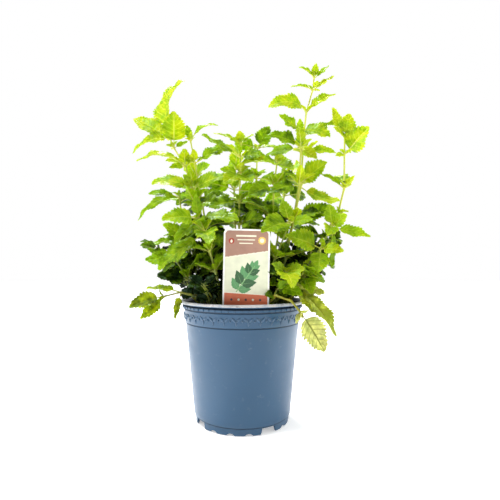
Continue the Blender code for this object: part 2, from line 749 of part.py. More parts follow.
def pot_profile():
    """The pot's wall in section: down the outside from the lip, across the base and up the inside."""
    base = FOOT_HEIGHT + BASE_THICKNESS
    outside = [
        (LIP_RADIUS - LIP_ROUNDING, POT_HEIGHT),
        (LIP_RADIUS - STEP_EASE, POT_HEIGHT - STEP_EASE),
        (LIP_RADIUS, POT_HEIGHT - LIP_ROUNDING),
        (LIP_RADIUS - STEP_EASE, LIP_LOW),
        (COLLAR_RADIUS, COLLAR_HIGH),
        (COLLAR_RADIUS - STEP_EASE, BAND_HIGH + STEP_EASE),
        (BAND_HIGH_RADIUS, BAND_HIGH),
        (BAND_LOW_RADIUS, BAND_LOW + STEP_EASE),
        (WALL_TOP_RADIUS, BAND_LOW),
        (WALL_FOOT_RADIUS, FOOT_HEIGHT + STEP_EASE),
        (FOOT_RADIUS, FOOT_HEIGHT),
        (FOOT_RADIUS - STEP_EASE, 0.0),
        (FOOT_RADIUS - FOOT_WALL, 0.0),
        (FOOT_RADIUS - FOOT_WALL, FOOT_HEIGHT),
        (0.0, FOOT_HEIGHT),
    ]
    inside = [
        (0.0, base),
        (inner_wall(base), base),
        (inner_wall(BAND_LOW), BAND_LOW),
        (BAND_HIGH_RADIUS - WALL, BAND_HIGH),
        (COLLAR_RADIUS - WALL, COLLAR_HIGH),
        (LIP_RADIUS - LIP_WIDTH, POT_HEIGHT - STEP_EASE),
        (LIP_RADIUS - LIP_ROUNDING, POT_HEIGHT),
    ]
    return outside + inside


def make_pot(collection, cutters):
    finish = material("pot_plastic", POT_BLUE, 0.42)
    pot = turned("pot", pot_profile(), POT_STEPS, collection, finish)
    helpers = new_collection("pot_cutters", cutters)
    for foot in range(FOOT_COUNT):
        middle = math.radians(FIRST_GAP_DEGREES + foot * 360 / FOOT_COUNT)
        bpy.ops.mesh.primitive_cube_add(size=1.0)
        gap = cutter(f"gap_{foot}", helpers)
        gap.scale = Vector((GAP_REACH, GAP_WIDTH, 2 * (FOOT_HEIGHT - GAP_ROOF))) * MM
        gap.rotation_euler.z = middle
        gap.location = around(middle, FOOT_RADIUS, 0.0) * MM
        for scallop in range(SCALLOPS_PER_FOOT):
            spread = (scallop - (SCALLOPS_PER_FOOT - 1) / 2) * SCALLOP_SPREAD_DEGREES
            angle = middle + math.radians(180 / FOOT_COUNT + spread)
            bpy.ops.mesh.primitive_cylinder_add(
                vertices=CUTTER_SIDES, radius=SCALLOP_RADIUS * MM, depth=SCALLOP_REACH * MM
            )
            arch = cutter(f"scallop_{foot}_{scallop}", helpers)
            arch.rotation_euler = (0, math.pi / 2, angle)
            arch.location = around(angle, FOOT_RADIUS, SCALLOP_RISE - SCALLOP_RADIUS) * MM
    for hole in range(DRAIN_HOLES):
        bpy.ops.mesh.primitive_cylinder_add(
            vertices=CUTTER_SIDES, radius=DRAIN_HOLE_RADIUS * MM, depth=3 * BASE_THICKNESS * MM
        )
        drain = cutter(f"drain_{hole}", helpers)
        angle = 2 * math.pi * hole / DRAIN_HOLES
        drain.location = around(angle, DRAIN_RING_RADIUS, FOOT_HEIGHT + BASE_THICKNESS / 2) * MM
    cut_by(pot, helpers)
    return pot


def soil_lump(x, y):
    """How far the soil's top is raised at a point, in millimetres."""
    ripple = math.sin(0.31 * x + 0.4) * math.cos(0.27 * y - 0.8) + 0.6 * math.sin(0.52 * y + 0.23 * x)
    return SOIL_LUMP * 0.6 * ripple + SOIL_CROWN * (1 - (x * x + y * y) / SOIL_RINGS[-1] ** 2)


def make_soil(collection, cutters, lines):
    base = FOOT_HEIGHT + BASE_THICKNESS + GAP
    profile = [(0.0, SOIL_EDGE_HEIGHT)]
    profile += [(radius, SOIL_EDGE_HEIGHT) for radius in SOIL_RINGS]
    profile += [
        (BAND_HIGH_RADIUS - WALL - SOIL_SLACK, SOIL_EDGE_HEIGHT - SOIL_EDGE_ROUND),
        (inner_wall(BAND_LOW) - SOIL_SLACK, BAND_LOW),
        (inner_wall(base) - SOIL_SLACK, base),
        (0.0, base),
    ]
    finish = material("soil", SOIL_BROWN, 0.95)
    soil = as_mesh_object(turned("soil", profile, SOIL_STEPS, collection, finish), collection)
    for vertex in soil.data.vertices:
        if vertex.co.z > (SOIL_EDGE_HEIGHT - 0.1) * MM:
            vertex.co.z += soil_lump(vertex.co.x / MM, vertex.co.y / MM) * MM
    helpers = new_collection("soil_cutters", cutters)
    depth = STEM_COLLAR + 6 - STEM_HOLE_FLOOR
    for name, (line, radii) in lines.items():
        bpy.ops.mesh.primitive_cylinder_add(
            vertices=5, radius=(radii[0] + STEM_HOLE_CLEARANCE) * MM, depth=depth * MM
        )
        hole = cutter("hole_" + name, helpers)
        hole.location = Vector((line[0].x, line[0].y, STEM_HOLE_FLOOR + depth / 2)) * MM
    bpy.ops.mesh.primitive_cube_add(size=1.0)
    slot = cutter("label_slot", helpers)
    middle = Matrix.Translation((0, 0, (LABEL_SLOT_FLOOR + LABEL_SLOT[2] / 2) * MM))
    size = Matrix.Diagonal((*(Vector(LABEL_SLOT) * MM), 1.0))
    slot.matrix_world = in_metres(label_matrix()) @ middle @ size
    cut_by(soil, helpers)
    return soil


def in_metres(matrix):
    """A placement in millimetres as one in metres."""
    made = matrix.copy()
    made.translation = matrix.translation * MM
    return made


def label_outline():
    """The label's outline from its lower left shoulder round by the point: x across and z up."""
    half, stake = LABEL_WIDTH / 2, LABEL_STAKE_WIDTH / 2
    left = [(-half, LABEL_CARD_LOW + LABEL_SHOULDER), (-half + LABEL_SHOULDER, LABEL_CARD_LOW)]
    left += [(-stake, LABEL_CARD_LOW), (-stake, LABEL_POINT + LABEL_TAPER)]
    right = [(-x, z) for x, z in reversed(left)]
    corner = []
    for step in range(LABEL_CORNER_STEPS + 1):
        angle = math.pi / 2 * step / LABEL_CORNER_STEPS
        x = half - LABEL_CORNER + LABEL_CORNER * math.cos(angle)
        corner.append((x, LABEL_TOP - LABEL_CORNER + LABEL_CORNER * math.sin(angle)))
    return [*left, (0.0, LABEL_POINT), *right, *corner, *((-x, z) for x, z in reversed(corner))]


def make_label(collection):
    """The card and its stake, cut from one sheet: a filled outline with an extrusion."""
    outline = label_outline()
    curve = bpy.data.curves.new("label", "CURVE")
    curve.dimensions = "2D"
    curve.fill_mode = "BOTH"
    curve.extrude = LABEL_THICKNESS / 2 * MM
    spline = curve.splines.new("POLY")
    spline.points.add(len(outline) - 1)
    for point, (x, z) in zip(spline.points, outline):
        point.co = (x * MM, z * MM, 0.0, 1.0)
    spline.use_cyclic_u = True
    label = new_object("label", curve, collection, material("label_plastic", LABEL_WHITE, 0.4))
    label.matrix_world = in_metres(label_matrix()) @ Matrix.Rotation(math.pi / 2, 4, "X")
    return label


class Shell:
    """The points and faces of one closed solid as it grows."""

    def __init__(self):
        self.points = []
        self.faces = []

    def add(self, points):
        """Adds points and gives their numbers."""
        first = len(self.points)
        self.points += points
        return list(range(first, len(self.points)))

    def ring(self, centre, along, radius, turn):
        """The four corners of the stem's square section, turned about the stem by so many radians."""
        tilt = Vector((0, 0, 1)).rotation_difference(along)
        angles = [turn + math.radians(45 + 90 * corner) for corner in range(4)]
        return self.add([centre + tilt @ (Vector((math.cos(a), math.sin(a), 0)) * radius) for a in angles])

    def sides(self, low, high):
        """The four sides between two rings, each as a loop that turns left seen from outside."""
        return [(low[k - 1], low[k], high[k], high[k - 1]) for k in range(4)]

    def outward(self, loop):
        """The unit direction that a loop of four points looks to."""
        a, b, c, d = (self.points[corner] for corner in loop)
        return (c - a).cross(d - b).normalized()

    def leaf(self, leaf, joint, socket):
        """Grows a leaf out of a side of the stem: its stalk starts from the side's four corners."""
        points, faces = leaf_surface(leaf, joint)
        half = BLADE_THICKNESS / 2
        top = self.add([point + normal * half for point, normal in points[STALK_POINTS:]])
        bottom = self.add([point - normal * half for point, normal in points[STALK_POINTS:]])
        for face in faces:
            if min(face) >= STALK_POINTS:
                self.faces.append(tuple(top[corner - STALK_POINTS] for corner in face))
                self.faces.append(tuple(bottom[corner - STALK_POINTS] for corner in reversed(face)))
        right, left = [*top[0:-1:3], top[-1]], [*top[2:-1:3], top[-1]]
        below = dict(zip(top, bottom))
        for a, b in zip(right, right[1:]):
            self.faces.append((a, b, below[b], below[a]))
        for a, b in zip(left, left[1:]):
            self.faces.append((b, a, below[a], below[b]))
        self.stalk(socket, [bottom[0], top[0], top[2], bottom[2]], {1: top[1], 3: bottom[1]})

    def stalk(self, socket, loop, ribs):
        """The stalk's faces from the stem to the blade, turned the way that twists them least. Two sides of
        the blade's first row have the midrib between their corners."""
        def twist(shift):
            pairs = zip(loop, socket[shift:] + socket[:shift])
            return sum((self.points[a] - self.points[b]).length for a, b in pairs)

        shift = min(range(4), key=twist)
        start = socket[shift:] + socket[:shift]
        for k in range(4):
            a, b, c, d = start[k], start[(k + 1) % 4], loop[(k + 1) % 4], loop[k]
            if k in ribs:
                self.faces += [(a, ribs[k], d), (a, b, ribs[k]), (b, c, ribs[k])]
            else:
                self.faces.append((a, b, c, d))

    def leaves(self, placed, joint, sockets):
        """Grows one joint's leaves from the sides that face their way most, and closes the other sides."""
        def fit(choice):
            ways = zip(placed, choice)
            return sum(self.outward(sockets[k]).dot(Vector(leaf.reach).normalized()) for leaf, k in ways)

        best = max(itertools.permutations(range(len(sockets)), len(placed)), key=fit)
        for leaf, k in zip(placed, best):
            self.leaf(leaf, joint, sockets[k])
        self.faces += [socket for k, socket in enumerate(sockets) if k not in best]


def first_turn(placed, along, turn):
    """How far a joint's section is turned for a side to face its first leaf, near to the turn so far."""
    if not placed:
        return turn
    tilt = Vector((0, 0, 1)).rotation_difference(along)
    way = tilt.inverted() @ Vector(placed[0].reach)
    quarter = math.pi / 2
    return turn + (math.atan2(way.y, way.x) - turn + quarter / 2) % quarter - quarter / 2


def make_leafy_stem(name, line, radii, grown, collection, finish):
    """A square stem with its leaves as one closed solid. Each joint is a short section whose sides, and at
    the top whose end too, are where the leaf stalks start."""
    shell = Shell()
    along = (line[1] - line[0]).normalized()
    ring = shell.ring(line[0], along, radii[0], 0.0)
    shell.faces.append(tuple(reversed(ring)))
    turn = 0.0
    for index, (joint, placed) in enumerate(grown, start=1):
        along = (line[index] - line[index - 1]).normalized()
        turn = first_turn(placed, along, turn)
        radius = radii[index]
        low = shell.ring(joint - along * NODE_HEIGHT / 2, along, radius, turn)
        high = shell.ring(joint + along * NODE_HEIGHT / 2, along, radius, turn)
        shell.faces += shell.sides(ring, low)
        sockets = shell.sides(low, high)
        if index == len(grown):
            sockets.append(tuple(high))
        shell.leaves(placed, joint, sockets)
        ring = high
    mesh = bpy.data.meshes.new(name)
    mesh.from_pydata([point * MM for point in shell.points], [], shell.faces)
    return new_object(name, mesh, collection, finish)


def shade_round(made):
    made.data.shade_smooth()
    made.data.set_sharp_from_angle(angle=math.radians(40))


def main():
    for leftover in list(bpy.data.objects):
        bpy.data.objects.remove(leftover)
    for leftover in list(bpy.data.collections):
        bpy.data.collections.remove(leftover)
    scene = bpy.context.scene.collection
    plant = new_collection("potted_lemon_balm", scene)
    cutters = new_collection("cutters", scene)
    cutters.hide_render = True
    lines = stem_lines()
    shade_round(make_pot(plant, cutters))
    make_soil(plant, cutters, lines)
    make_label(plant)
    grown = grown_leaves(lines)
    for name, (line, radii) in lines.items():
        finish = material(name + "_green", LEAF_GREEN, 0.5)
        make_leafy_stem(name, line, radii, grown[name], plant, finish)


main()
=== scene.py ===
"""Potted lemon balm: the looks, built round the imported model.

Every table and dimension of the object is in millimetres, and MM turns them into metres. +Z is up, the
origin is on the pot's axis at the level of its feet, and -Y is the side that shows the label.
"""

import math
import random
from dataclasses import dataclass, replace

import bmesh
import bpy
import numpy as np
from mathutils import Matrix, Quaternion, Vector, noise
from mathutils.bvhtree import BVHTree


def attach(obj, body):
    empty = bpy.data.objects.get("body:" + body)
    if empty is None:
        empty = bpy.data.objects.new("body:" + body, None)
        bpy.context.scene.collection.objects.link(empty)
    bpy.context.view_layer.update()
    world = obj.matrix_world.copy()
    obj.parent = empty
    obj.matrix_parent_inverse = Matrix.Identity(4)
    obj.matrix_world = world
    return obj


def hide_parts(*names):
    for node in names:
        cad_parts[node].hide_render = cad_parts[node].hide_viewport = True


MM = 0.001

# Camera and light, in metres. A light has its place, its size and its power in watts
CAMERA_PLACE = (0.0, -0.377, 0.1444)
CAMERA_PITCH_DEGREES = 92.45
CAMERA_LENS = 27.648
CAMERA_SENSOR = 36.0
CAMERA_SHIFT = (250 - 242.3) / 500
FRONT_LIGHT = 0.42
FRONT_SPREAD = (-0.95, -0.15)
ROOF_LIGHT = 0.55
ROOF_EDGE = (0.6, 0.75)
FLOOR_RADIUS = 4.0
FLOOR_WHITE = (0.9, 0.9, 0.9, 1.0)
FLOOR_GLOW = 0.48
LIGHT_AIM = (0.0, 0.0, 0.2)
LIGHTS = {
    "light_behind": ((-0.35, 0.9, 1.5), 0.6, 50.0),
    "light_above": ((-0.5, -0.3, 1.6), 0.4, 26.0),
    "light_left": ((-1.2, -0.25, 0.3), 0.9, 6.0),
    "light_right": ((1.25, -0.1, 0.35), 0.9, 8.0),
}

# Pot: heights of its steps and the outer radius at each
FOOT_HEIGHT = 5.9
FOOT_RADIUS = 44.6
WALL_FOOT_RADIUS = 45.6
BAND_LOW = 91.8
WALL_TOP_RADIUS = 54.4
BAND_LOW_RADIUS = 55.1
BAND_HIGH = 104.7
BAND_HIGH_RADIUS = 56.3
COLLAR_HIGH = 108.9
COLLAR_RADIUS = 57.4
LIP_RADIUS = 60.0
LIP_LOW = 109.6
GROOVE_HIGH = 109.3
GROOVE_LOW = 108.2
GROOVE_DEPTH = 0.5
POT_HEIGHT = 112.6
LIP_WIDTH = 3.0
LIP_ROUND = 1.5
LIP_FACE = 1.1
WALL = 1.4
BASE_THICKNESS = 1.6
HUB_RADIUS = 20.0
FOOT_WALL = 2.2

# Foot ring: four wide gaps that drain the pot, and three shallow scallops under each foot between them
POT_STEPS = 360
FOOT_COUNT = 4
FIRST_GAP_DEGREES = -58.5
GAP_WIDTH = 13.5
GAP_ROOF = 0.9
GAP_SLOPE = 0.9
SCALLOPS_PER_FOOT = 3
SCALLOP_SPREAD_DEGREES = 21.0
SCALLOP_RADIUS = 4.6
SCALLOP_RISE = 1.7
DRAIN_HOLES = 6
DRAIN_HOLE_RADIUS = 3.5
DRAIN_RING_RADIUS = 27.0

# Raised work on the pot: ribs under the lip and a plain repeat of seedlings on the band
RIBS = 60
RIB_WIDTH = 1.1
RIB_RISE = 0.5
RIB_SECTION = ((-0.5, -0.4), (-0.32, 1.0), (0.32, 1.0), (0.5, -0.4))
SEEDLINGS = 34
SEEDLING_HEIGHT = 8.2
SEEDLING_STALK_WIDTH = 1.5
SEEDLING_LEAF_FOOT = 0.15
SEEDLING_LEAF_WIDTH = 2.8
SEEDLING_LEAN = 0.72
BUD_RISE = 3.2
BUD_LENGTH = 2.2
BUD_WIDTH = 1.7
RELIEF_RISE = 0.9
RELIEF_SUNK = 0.12
RELIEF_STEPS = 7
RELIEF_SIDES = 6

# Soil
SOIL_EDGE_HEIGHT = 106.0
SOIL_CROWN = 2.2
SOIL_RADIUS = 48.0
SOIL_SLACK = 0.55
SOIL_LUMP = 1.0
SOIL_STEPS = 160
SOIL_RINGS = 60
SOIL_CRUMBLY_RADIUS = 54.6
SOIL_CRUMBLE = 1.5
SOIL_CRUMBLE_LENGTH = 7.0
SOIL_GRAIN = 0.7
SOIL_GRAIN_LENGTH = 2.1
GAP = 0.3
CRUMBS = 620
CRUMB_REACH = 53.5
CRUMB_SMALLEST = 0.5
CRUMB_GROWTH = 1.9
CRUMB_ROUGHNESS = 0.45
FIBRES = 26
FIBRE_REACH = 50
FIBRE_LIMIT = 53
FIBRE_POINTS = 9
FIBRE_STEP = 1.5
FIBRE_RADII = (0.3, 0.12)

# Plant label: a card with rounded top corners over a pointed stake
LABEL_WIDTH = 40.4
LABEL_CARD_LOW = 108.6
LABEL_TOP = 177.0
LABEL_POINT = 80.0
LABEL_STAKE_WIDTH = 11.0
LABEL_TAPER = 9.0
LABEL_CORNER = 4.0
LABEL_CORNER_STEPS = 10
LABEL_SHOULDER = 1.0
LABEL_THICKNESS = 0.8
LABEL_X = 2.8
LABEL_Y = -43.0
LABEL_LEAN_DEGREES = 1.2
LABEL_EDGE = 0.12
LABEL_MARGIN = 1.5

# The label's print, in the card's own x and z: its fields, its sprig, its badges, its bars and its dots
PRINT_LOW = 110.4
PRINT_HEADER_LOW = 155.0
PRINT_HEADER_SLOPE = 0.16
PRINT_STRIP_HIGH = 120.5
PRINT_STRIP_SLOPE = 0.05
PRINT_STEP = 0.03
SPRIG_PAIRS = ((0.1, 11.5), (0.3, 13.0), (0.5, 12.0), (0.7, 10.0), (0.88, 7.5))
SPRIG_LEAF_WIDTH = 0.56
SPRIG_VEIN = 0.16
STALK_RISE = 1.2
YELLOW_BADGE = (13.2, 167.0)
RED_BADGE = (-13.4, 166.4)
HEADER_BARS = ((-9.4, 8.2, 1.5), (-8.2, 7.0, 0.9), (-6.6, 5.2, 0.9))
HEADER_BAR_LOW = 170.2
HEADER_BAR_STEP = 3.1
DOTS = 5
DOT_STEP = 6.2
DOT_HEIGHT = 115.6

# Stems and leaves, placed as in the solids
SEED = 5003
STEM_ROOT = 97.0
STEM_COLLAR = 111.0
STEM_RADIUS = 1.5
STEM_TIP_RADIUS = 0.85
NODE_HEIGHT = 1.3
BLADE_THICKNESS = 0.7
PETIOLE_HALF_WIDTH = 0.85
PETIOLE_SHARE = 0.22
STALK_POINTS = 2
TOOTH_DEPTH = 0.2
TEETH_OF_LENGTH = ((28.0, 3), (15.0, 2), (0.0, 1))
BROAD_BASE = 0.62
BLUNT_TIP = 0.75
RIPPLES = 4.6
RIPPLE_SHIFT = 1.3
LEAF_RANGES = {"fold": (6, 18), "twist": (-14, 14), "wave": (0.02, 0.045), "phase": (0, 2 * math.pi)}
PAD = 0.75
PAIR_ARCH = 60.0
PAIR_RISE = -8.0
OUTWARD_FACE = (0.95, 0.7)

# Ways that a leaf's upper side can look; a leaf with none looks up and away from the pot's axis
TO_FRONT = (0.0, -0.85, 0.5)
TO_FRONT_LEFT = (-0.4, -0.8, 0.5)
TO_FRONT_RIGHT = (0.4, -0.8, 0.5)
UPWARD = (0.0, -0.5, 0.85)
HALF_UP = (0.0, -0.7, 0.7)
TO_SIDE = (-0.8, -0.6, 0.1)
STANDING = (0.0, -1.0, 0.15)
TO_BACK = (-0.2, 0.9, 0.35)

# The fine form of a leaf
LEAF_THICKNESS = 0.34
TOOTH_LENGTH = 2.7
TOOTH_CUT = 0.19
TOOTH_LEAN = 0.2
TOOTH_PLACES = (0.0, 0.26, 0.72)
TOOTH_CUTS = (1.0, 0.22, 0.0)
HALF_COLUMNS = ((24.0, 5), (18.0, 4), (0.0, 3))
TIP_HALF_WIDTH = 0.35
QUILT = 0.03
QUILT_OF_CELL = 0.2
PUCKER = 0.0055
EDGE_CURL = 0.022
VEIN_SPACING = 5.2
VEIN_SLANT = 0.24
CREASE_WIDTH = 0.16
RIB_RADII = (0.78, 0.5, 0.16)
RIB_SIDES = 6
BROAD_BLADE = 8.0

# The fine form of a stem
STEM_SIDES = 12
STEM_SQUARE = 0.07
BEND_REACH = 6.0
BEND_SHARE = 0.3
NODE_REACH = 2.6
NODE_SWELLING = 0.34
STEM_SLIMMEST = 0.86

# How far the small leaves keep from the label's edges and faces, and from the lip inside, outside and above
EDGE_CLEARANCE = 2
FACE_CLEARANCE = 2.2
INSIDE_CLEARANCE = 7
OUTSIDE_CLEARANCE = 2.5
LIP_CLEARANCE = 1.5

# Little leaves round a stem's tip and in its axils, with more and larger ones inside the tuft
TIP_LEAF = 9.0
AXIL_LEAF = 10.0
INNER_AXIL_LEAF = 19.0
INNER_REACH = 64.0
INNER_HEIGHT = 264.0
LOWEST_AXIL = 122
AXIL_RANGES = {"arch": (10, 70), "width": (0.6, 0.85), "fold": (10, 32), "twist": (-20, 20), "phase": (0, 6)}
AXIL_WAVE = 0.03
AXIL_LIGHTER = 0.1

# Short shoots between the stems, their leaves and the ranges that these are drawn from
SHOOT_RING = 46
SHOOT_SPREAD = 60
SHOOT_LEAN = 0.2
SHOOT_RADII = (0.95, 0.6)
SHOOT_TONE = (0.15, 0.0, 0.5, 1.0)
SHOOT_LEAF_SPACING = 12
SHOOT_LEAF = (11, 19)
SHOOT_RANGES = {
    "arch": (30, 90),
    "width": (0.75, 1.0),
    "fold": (4, 24),
    "twist": (-25, 25),
    "wave": (0.03, 0.06),
    "phase": (0, 6),
}
# The share of their tone that the shoots' leaves keep: painted shade among the stems
SHOOT_SHADED_SHARE = 0.7

# A leaf's tone, partly its youth and partly painted light: it grows with the height, the distance from the
# axis and the nearness to the front, which counts for less higher up. Leaves close to the soil get painted
# shade
TONE_LOW = 108
TONE_HEIGHT = 150
TONE_OF_HEIGHT = 0.62
TONE_INSIDE = 25
TONE_DEPTH = 75
TONE_OF_DEPTH = 0.3
TONE_FRONT = 60
TONE_OF_FRONT = 0.28
TONE_OF_FRONT_FALL = 0.16
TONE_SPREAD = 0.1
TONE_ADDED = 0.11
LOW_SHADE = 0.2
LOW_SHADE_TOP = 150
LOW_SHADE_DEPTH = 40
# Stems are paler above this height and darker below it, partly as painted shade
STEM_TONE_HEIGHT = 120

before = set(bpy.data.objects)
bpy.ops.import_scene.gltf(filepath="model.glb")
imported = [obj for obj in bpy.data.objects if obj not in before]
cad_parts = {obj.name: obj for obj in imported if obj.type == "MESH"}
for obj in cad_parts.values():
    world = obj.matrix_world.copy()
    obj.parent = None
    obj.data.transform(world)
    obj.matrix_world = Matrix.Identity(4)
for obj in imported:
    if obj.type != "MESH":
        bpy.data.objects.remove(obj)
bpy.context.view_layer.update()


# Colours, linear
LEAF_COLOURS = (
    (0.0, (0.002, 0.005, 0.001)),
    (0.2, (0.018, 0.038, 0.001)),
    (0.4, (0.09, 0.175, 0.001)),
    (0.6, (0.19, 0.33, 0.001)),
    (0.8, (0.26, 0.405, 0.002)),
    (1.0, (0.37, 0.46, 0.003)),
)
VEIN_COLOURS = (
    (0.0, (0.008, 0.018, 0.002)),
    (0.2, (0.06, 0.1, 0.006)),
    (0.4, (0.24, 0.36, 0.015)),
    (0.6, (0.42, 0.56, 0.03)),
    (0.8, (0.54, 0.66, 0.06)),
    (1.0, (0.64, 0.72, 0.09)),
)
LEAF_GLOSS = (0.4, 1.0, 0.45, 1.0)
GLOW = (1.0, 0.92, 0.2, 1.0)
GLOW_STRENGTH = (1.9, 1.75, 1.2, 1.0)
LIT_THROUGH = 0.45
FADED_PALE = (0.72, 0.75, 0.34, 1.0)
FADED_YELLOW = (0.68, 0.71, 0.02, 1.0)
FADED_OLIVE = (0.17, 0.18, 0.008, 1.0)
STEM_COLOURS = (
    (0.0, (0.05, 0.07, 0.01)),
    (0.35, (0.22, 0.27, 0.02)),
    (0.7, (0.46, 0.5, 0.05)),
    (1.0, (0.56, 0.6, 0.08)),
)
STEM_FADED = (0.42, 0.38, 0.03, 1.0)
POT_BLUE = (0.004, 0.049, 0.113, 1.0)
POT_BLUE_PALE = (0.008, 0.059, 0.129, 1.0)
POT_SEAM = (0.004, 0.012, 0.024, 1.0)
POT_DUST_AND_HIGHLIGHT = (0.2, 0.24, 0.28, 1.0)
LIP_BLUE = (0.2, 0.25, 0.31, 1.0)
LIP_PALE = (0.39, 0.38, 0.37, 1.0)
LIP_SOILED = (0.13, 0.1, 0.09, 1.0)
SOIL_COLOURS = (
    (0.3, (0.004, 0.003, 0.002)),
    (0.55, (0.016, 0.011, 0.007)),
    (0.72, (0.05, 0.034, 0.02)),
    (0.85, (0.12, 0.085, 0.05)),
)
FIBRE = (0.34, 0.28, 0.18)
CARD_WHITE = (0.86, 0.85, 0.82)
INKS = {
    "cream": (0.78, 0.76, 0.6),
    "straw": (0.68, 0.69, 0.52),
    "brown": (0.36, 0.2, 0.145),
    "green": (0.03, 0.1, 0.035),
    "light": (0.1, 0.29, 0.11),
    "pale": (0.2, 0.42, 0.16),
    "terracotta": (0.6, 0.13, 0.05),
    "red": (0.38, 0.045, 0.03),
    "yellow": (0.78, 0.52, 0.12),
    "dark": (0.03, 0.02, 0.025),
}


# Stems with spent leaves: how far these have faded to pale yellow, and the height that they grow below
FADED = {"trailing_left": (0.42, 200.0), "trailing_right": (1.0, 200.0), "stem_right_low": (0.8, 130.0)}

# Painted light and shade by stem: how much lighter or darker the leaves of a stem are than their place says
SHADE = {
    "undergrowth_left": -0.42,
    "undergrowth_tall": -0.2,
    "trailing_left": 0.3,
    "undergrowth_right": 0.3,
    "stem_front_low": 0.32,
    "stem_right_low": 0.32,
    "stem_right_front": 0.15,
    "stem_centre_front": 0.18,
    "stem_left_front": 0.06,
    "stem_centre_mid": 0.06,
    "stem_centre_left": 0.06,
}

# Heights of the pot's seams, painted dark as shade with a little dirt: the middle, half the height and how
# dark
POT_SEAMS = (
    (108.3, 1.3, 0.9),
    (105.1, 0.9, 0.9),
    (91.9, 0.9, 0.7),
    (6.3, 0.9, 0.8),
)

# Young shoots between the stems: where they stand on the soil (x and y from and to), how many are tried
# and how tall they are (from and to)
UNDERGROWTH = {
    "undergrowth_left": (-44, -18, -34, 26, 16, 10, 42),
    "undergrowth_middle": (-18, 22, -26, 38, 20, 10, 42),
    "undergrowth_right": (22, 45, -36, 26, 34, 10, 42),
    "undergrowth_tall": (-38, 44, -10, 38, 34, 38, 78),
}


def new_piece(mesh, finishes, replaced=()):
    """A mesh as a piece that rides on the one body, with these finishes, in place of the solids that it
    replaces.
    """
    made = bpy.data.objects.new(mesh.name, mesh)
    bpy.context.scene.collection.objects.link(made)
    for finish in finishes:
        mesh.materials.append(finish)
    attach(made, "root")
    if replaced:
        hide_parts(*replaced)
    return made


def mesh_of(name, points, faces):
    """A mesh in metres from points in millimetres."""
    mesh = bpy.data.meshes.new(name)
    mesh.from_pydata([Vector(point) * MM for point in points], [], faces)
    return mesh


def smooth(mesh, crease_degrees=None):
    """Smooth shading, but crisp where two faces meet at more than the crease angle."""
    mesh.shade_smooth()
    if crease_degrees:
        mesh.set_sharp_from_angle(angle=math.radians(crease_degrees))


def clamp(number, low=0.0, high=1.0):
    """The number held between the two others."""
    return min(max(number, low), high)


def drawn(ranges, chance):
    """One draw from each range, by name."""
    return {name: chance.uniform(*span) for name, span in ranges.items()}


def round_axis(radius, angle, height=0.0):
    """A point at this distance from the pot's axis, at this angle round it."""
    return radius * math.cos(angle), radius * math.sin(angle), height


@dataclass(frozen=True)
class Leaf:
    """A leaf by where its tip is from its joint and which way its upper side looks. The arch is how many
    degrees it bends over on its way, and the width is a share of the blade's length."""

    reach: tuple
    face: tuple = None
    arch: float = PAIR_ARCH
    width: float = 0.82
    fold: float = 12.0
    twist: float = 0.0
    wave: float = 0.04
    phase: float = 0.0


def lone(azimuth, length, rise=PAIR_RISE):
    """One leaf that looks up and outwards. Azimuth 0 points to +X and 90 to +Y."""
    across, up = math.radians(azimuth), math.radians(rise)
    flat = length * math.cos(up)
    return Leaf((flat * math.cos(across), flat * math.sin(across), length * math.sin(up)))


def pair(azimuth, length, rise=PAIR_RISE):
    """The two opposite leaves of one joint."""
    return lone(azimuth, length, rise), lone(azimuth + 180, 0.92 * length, rise)


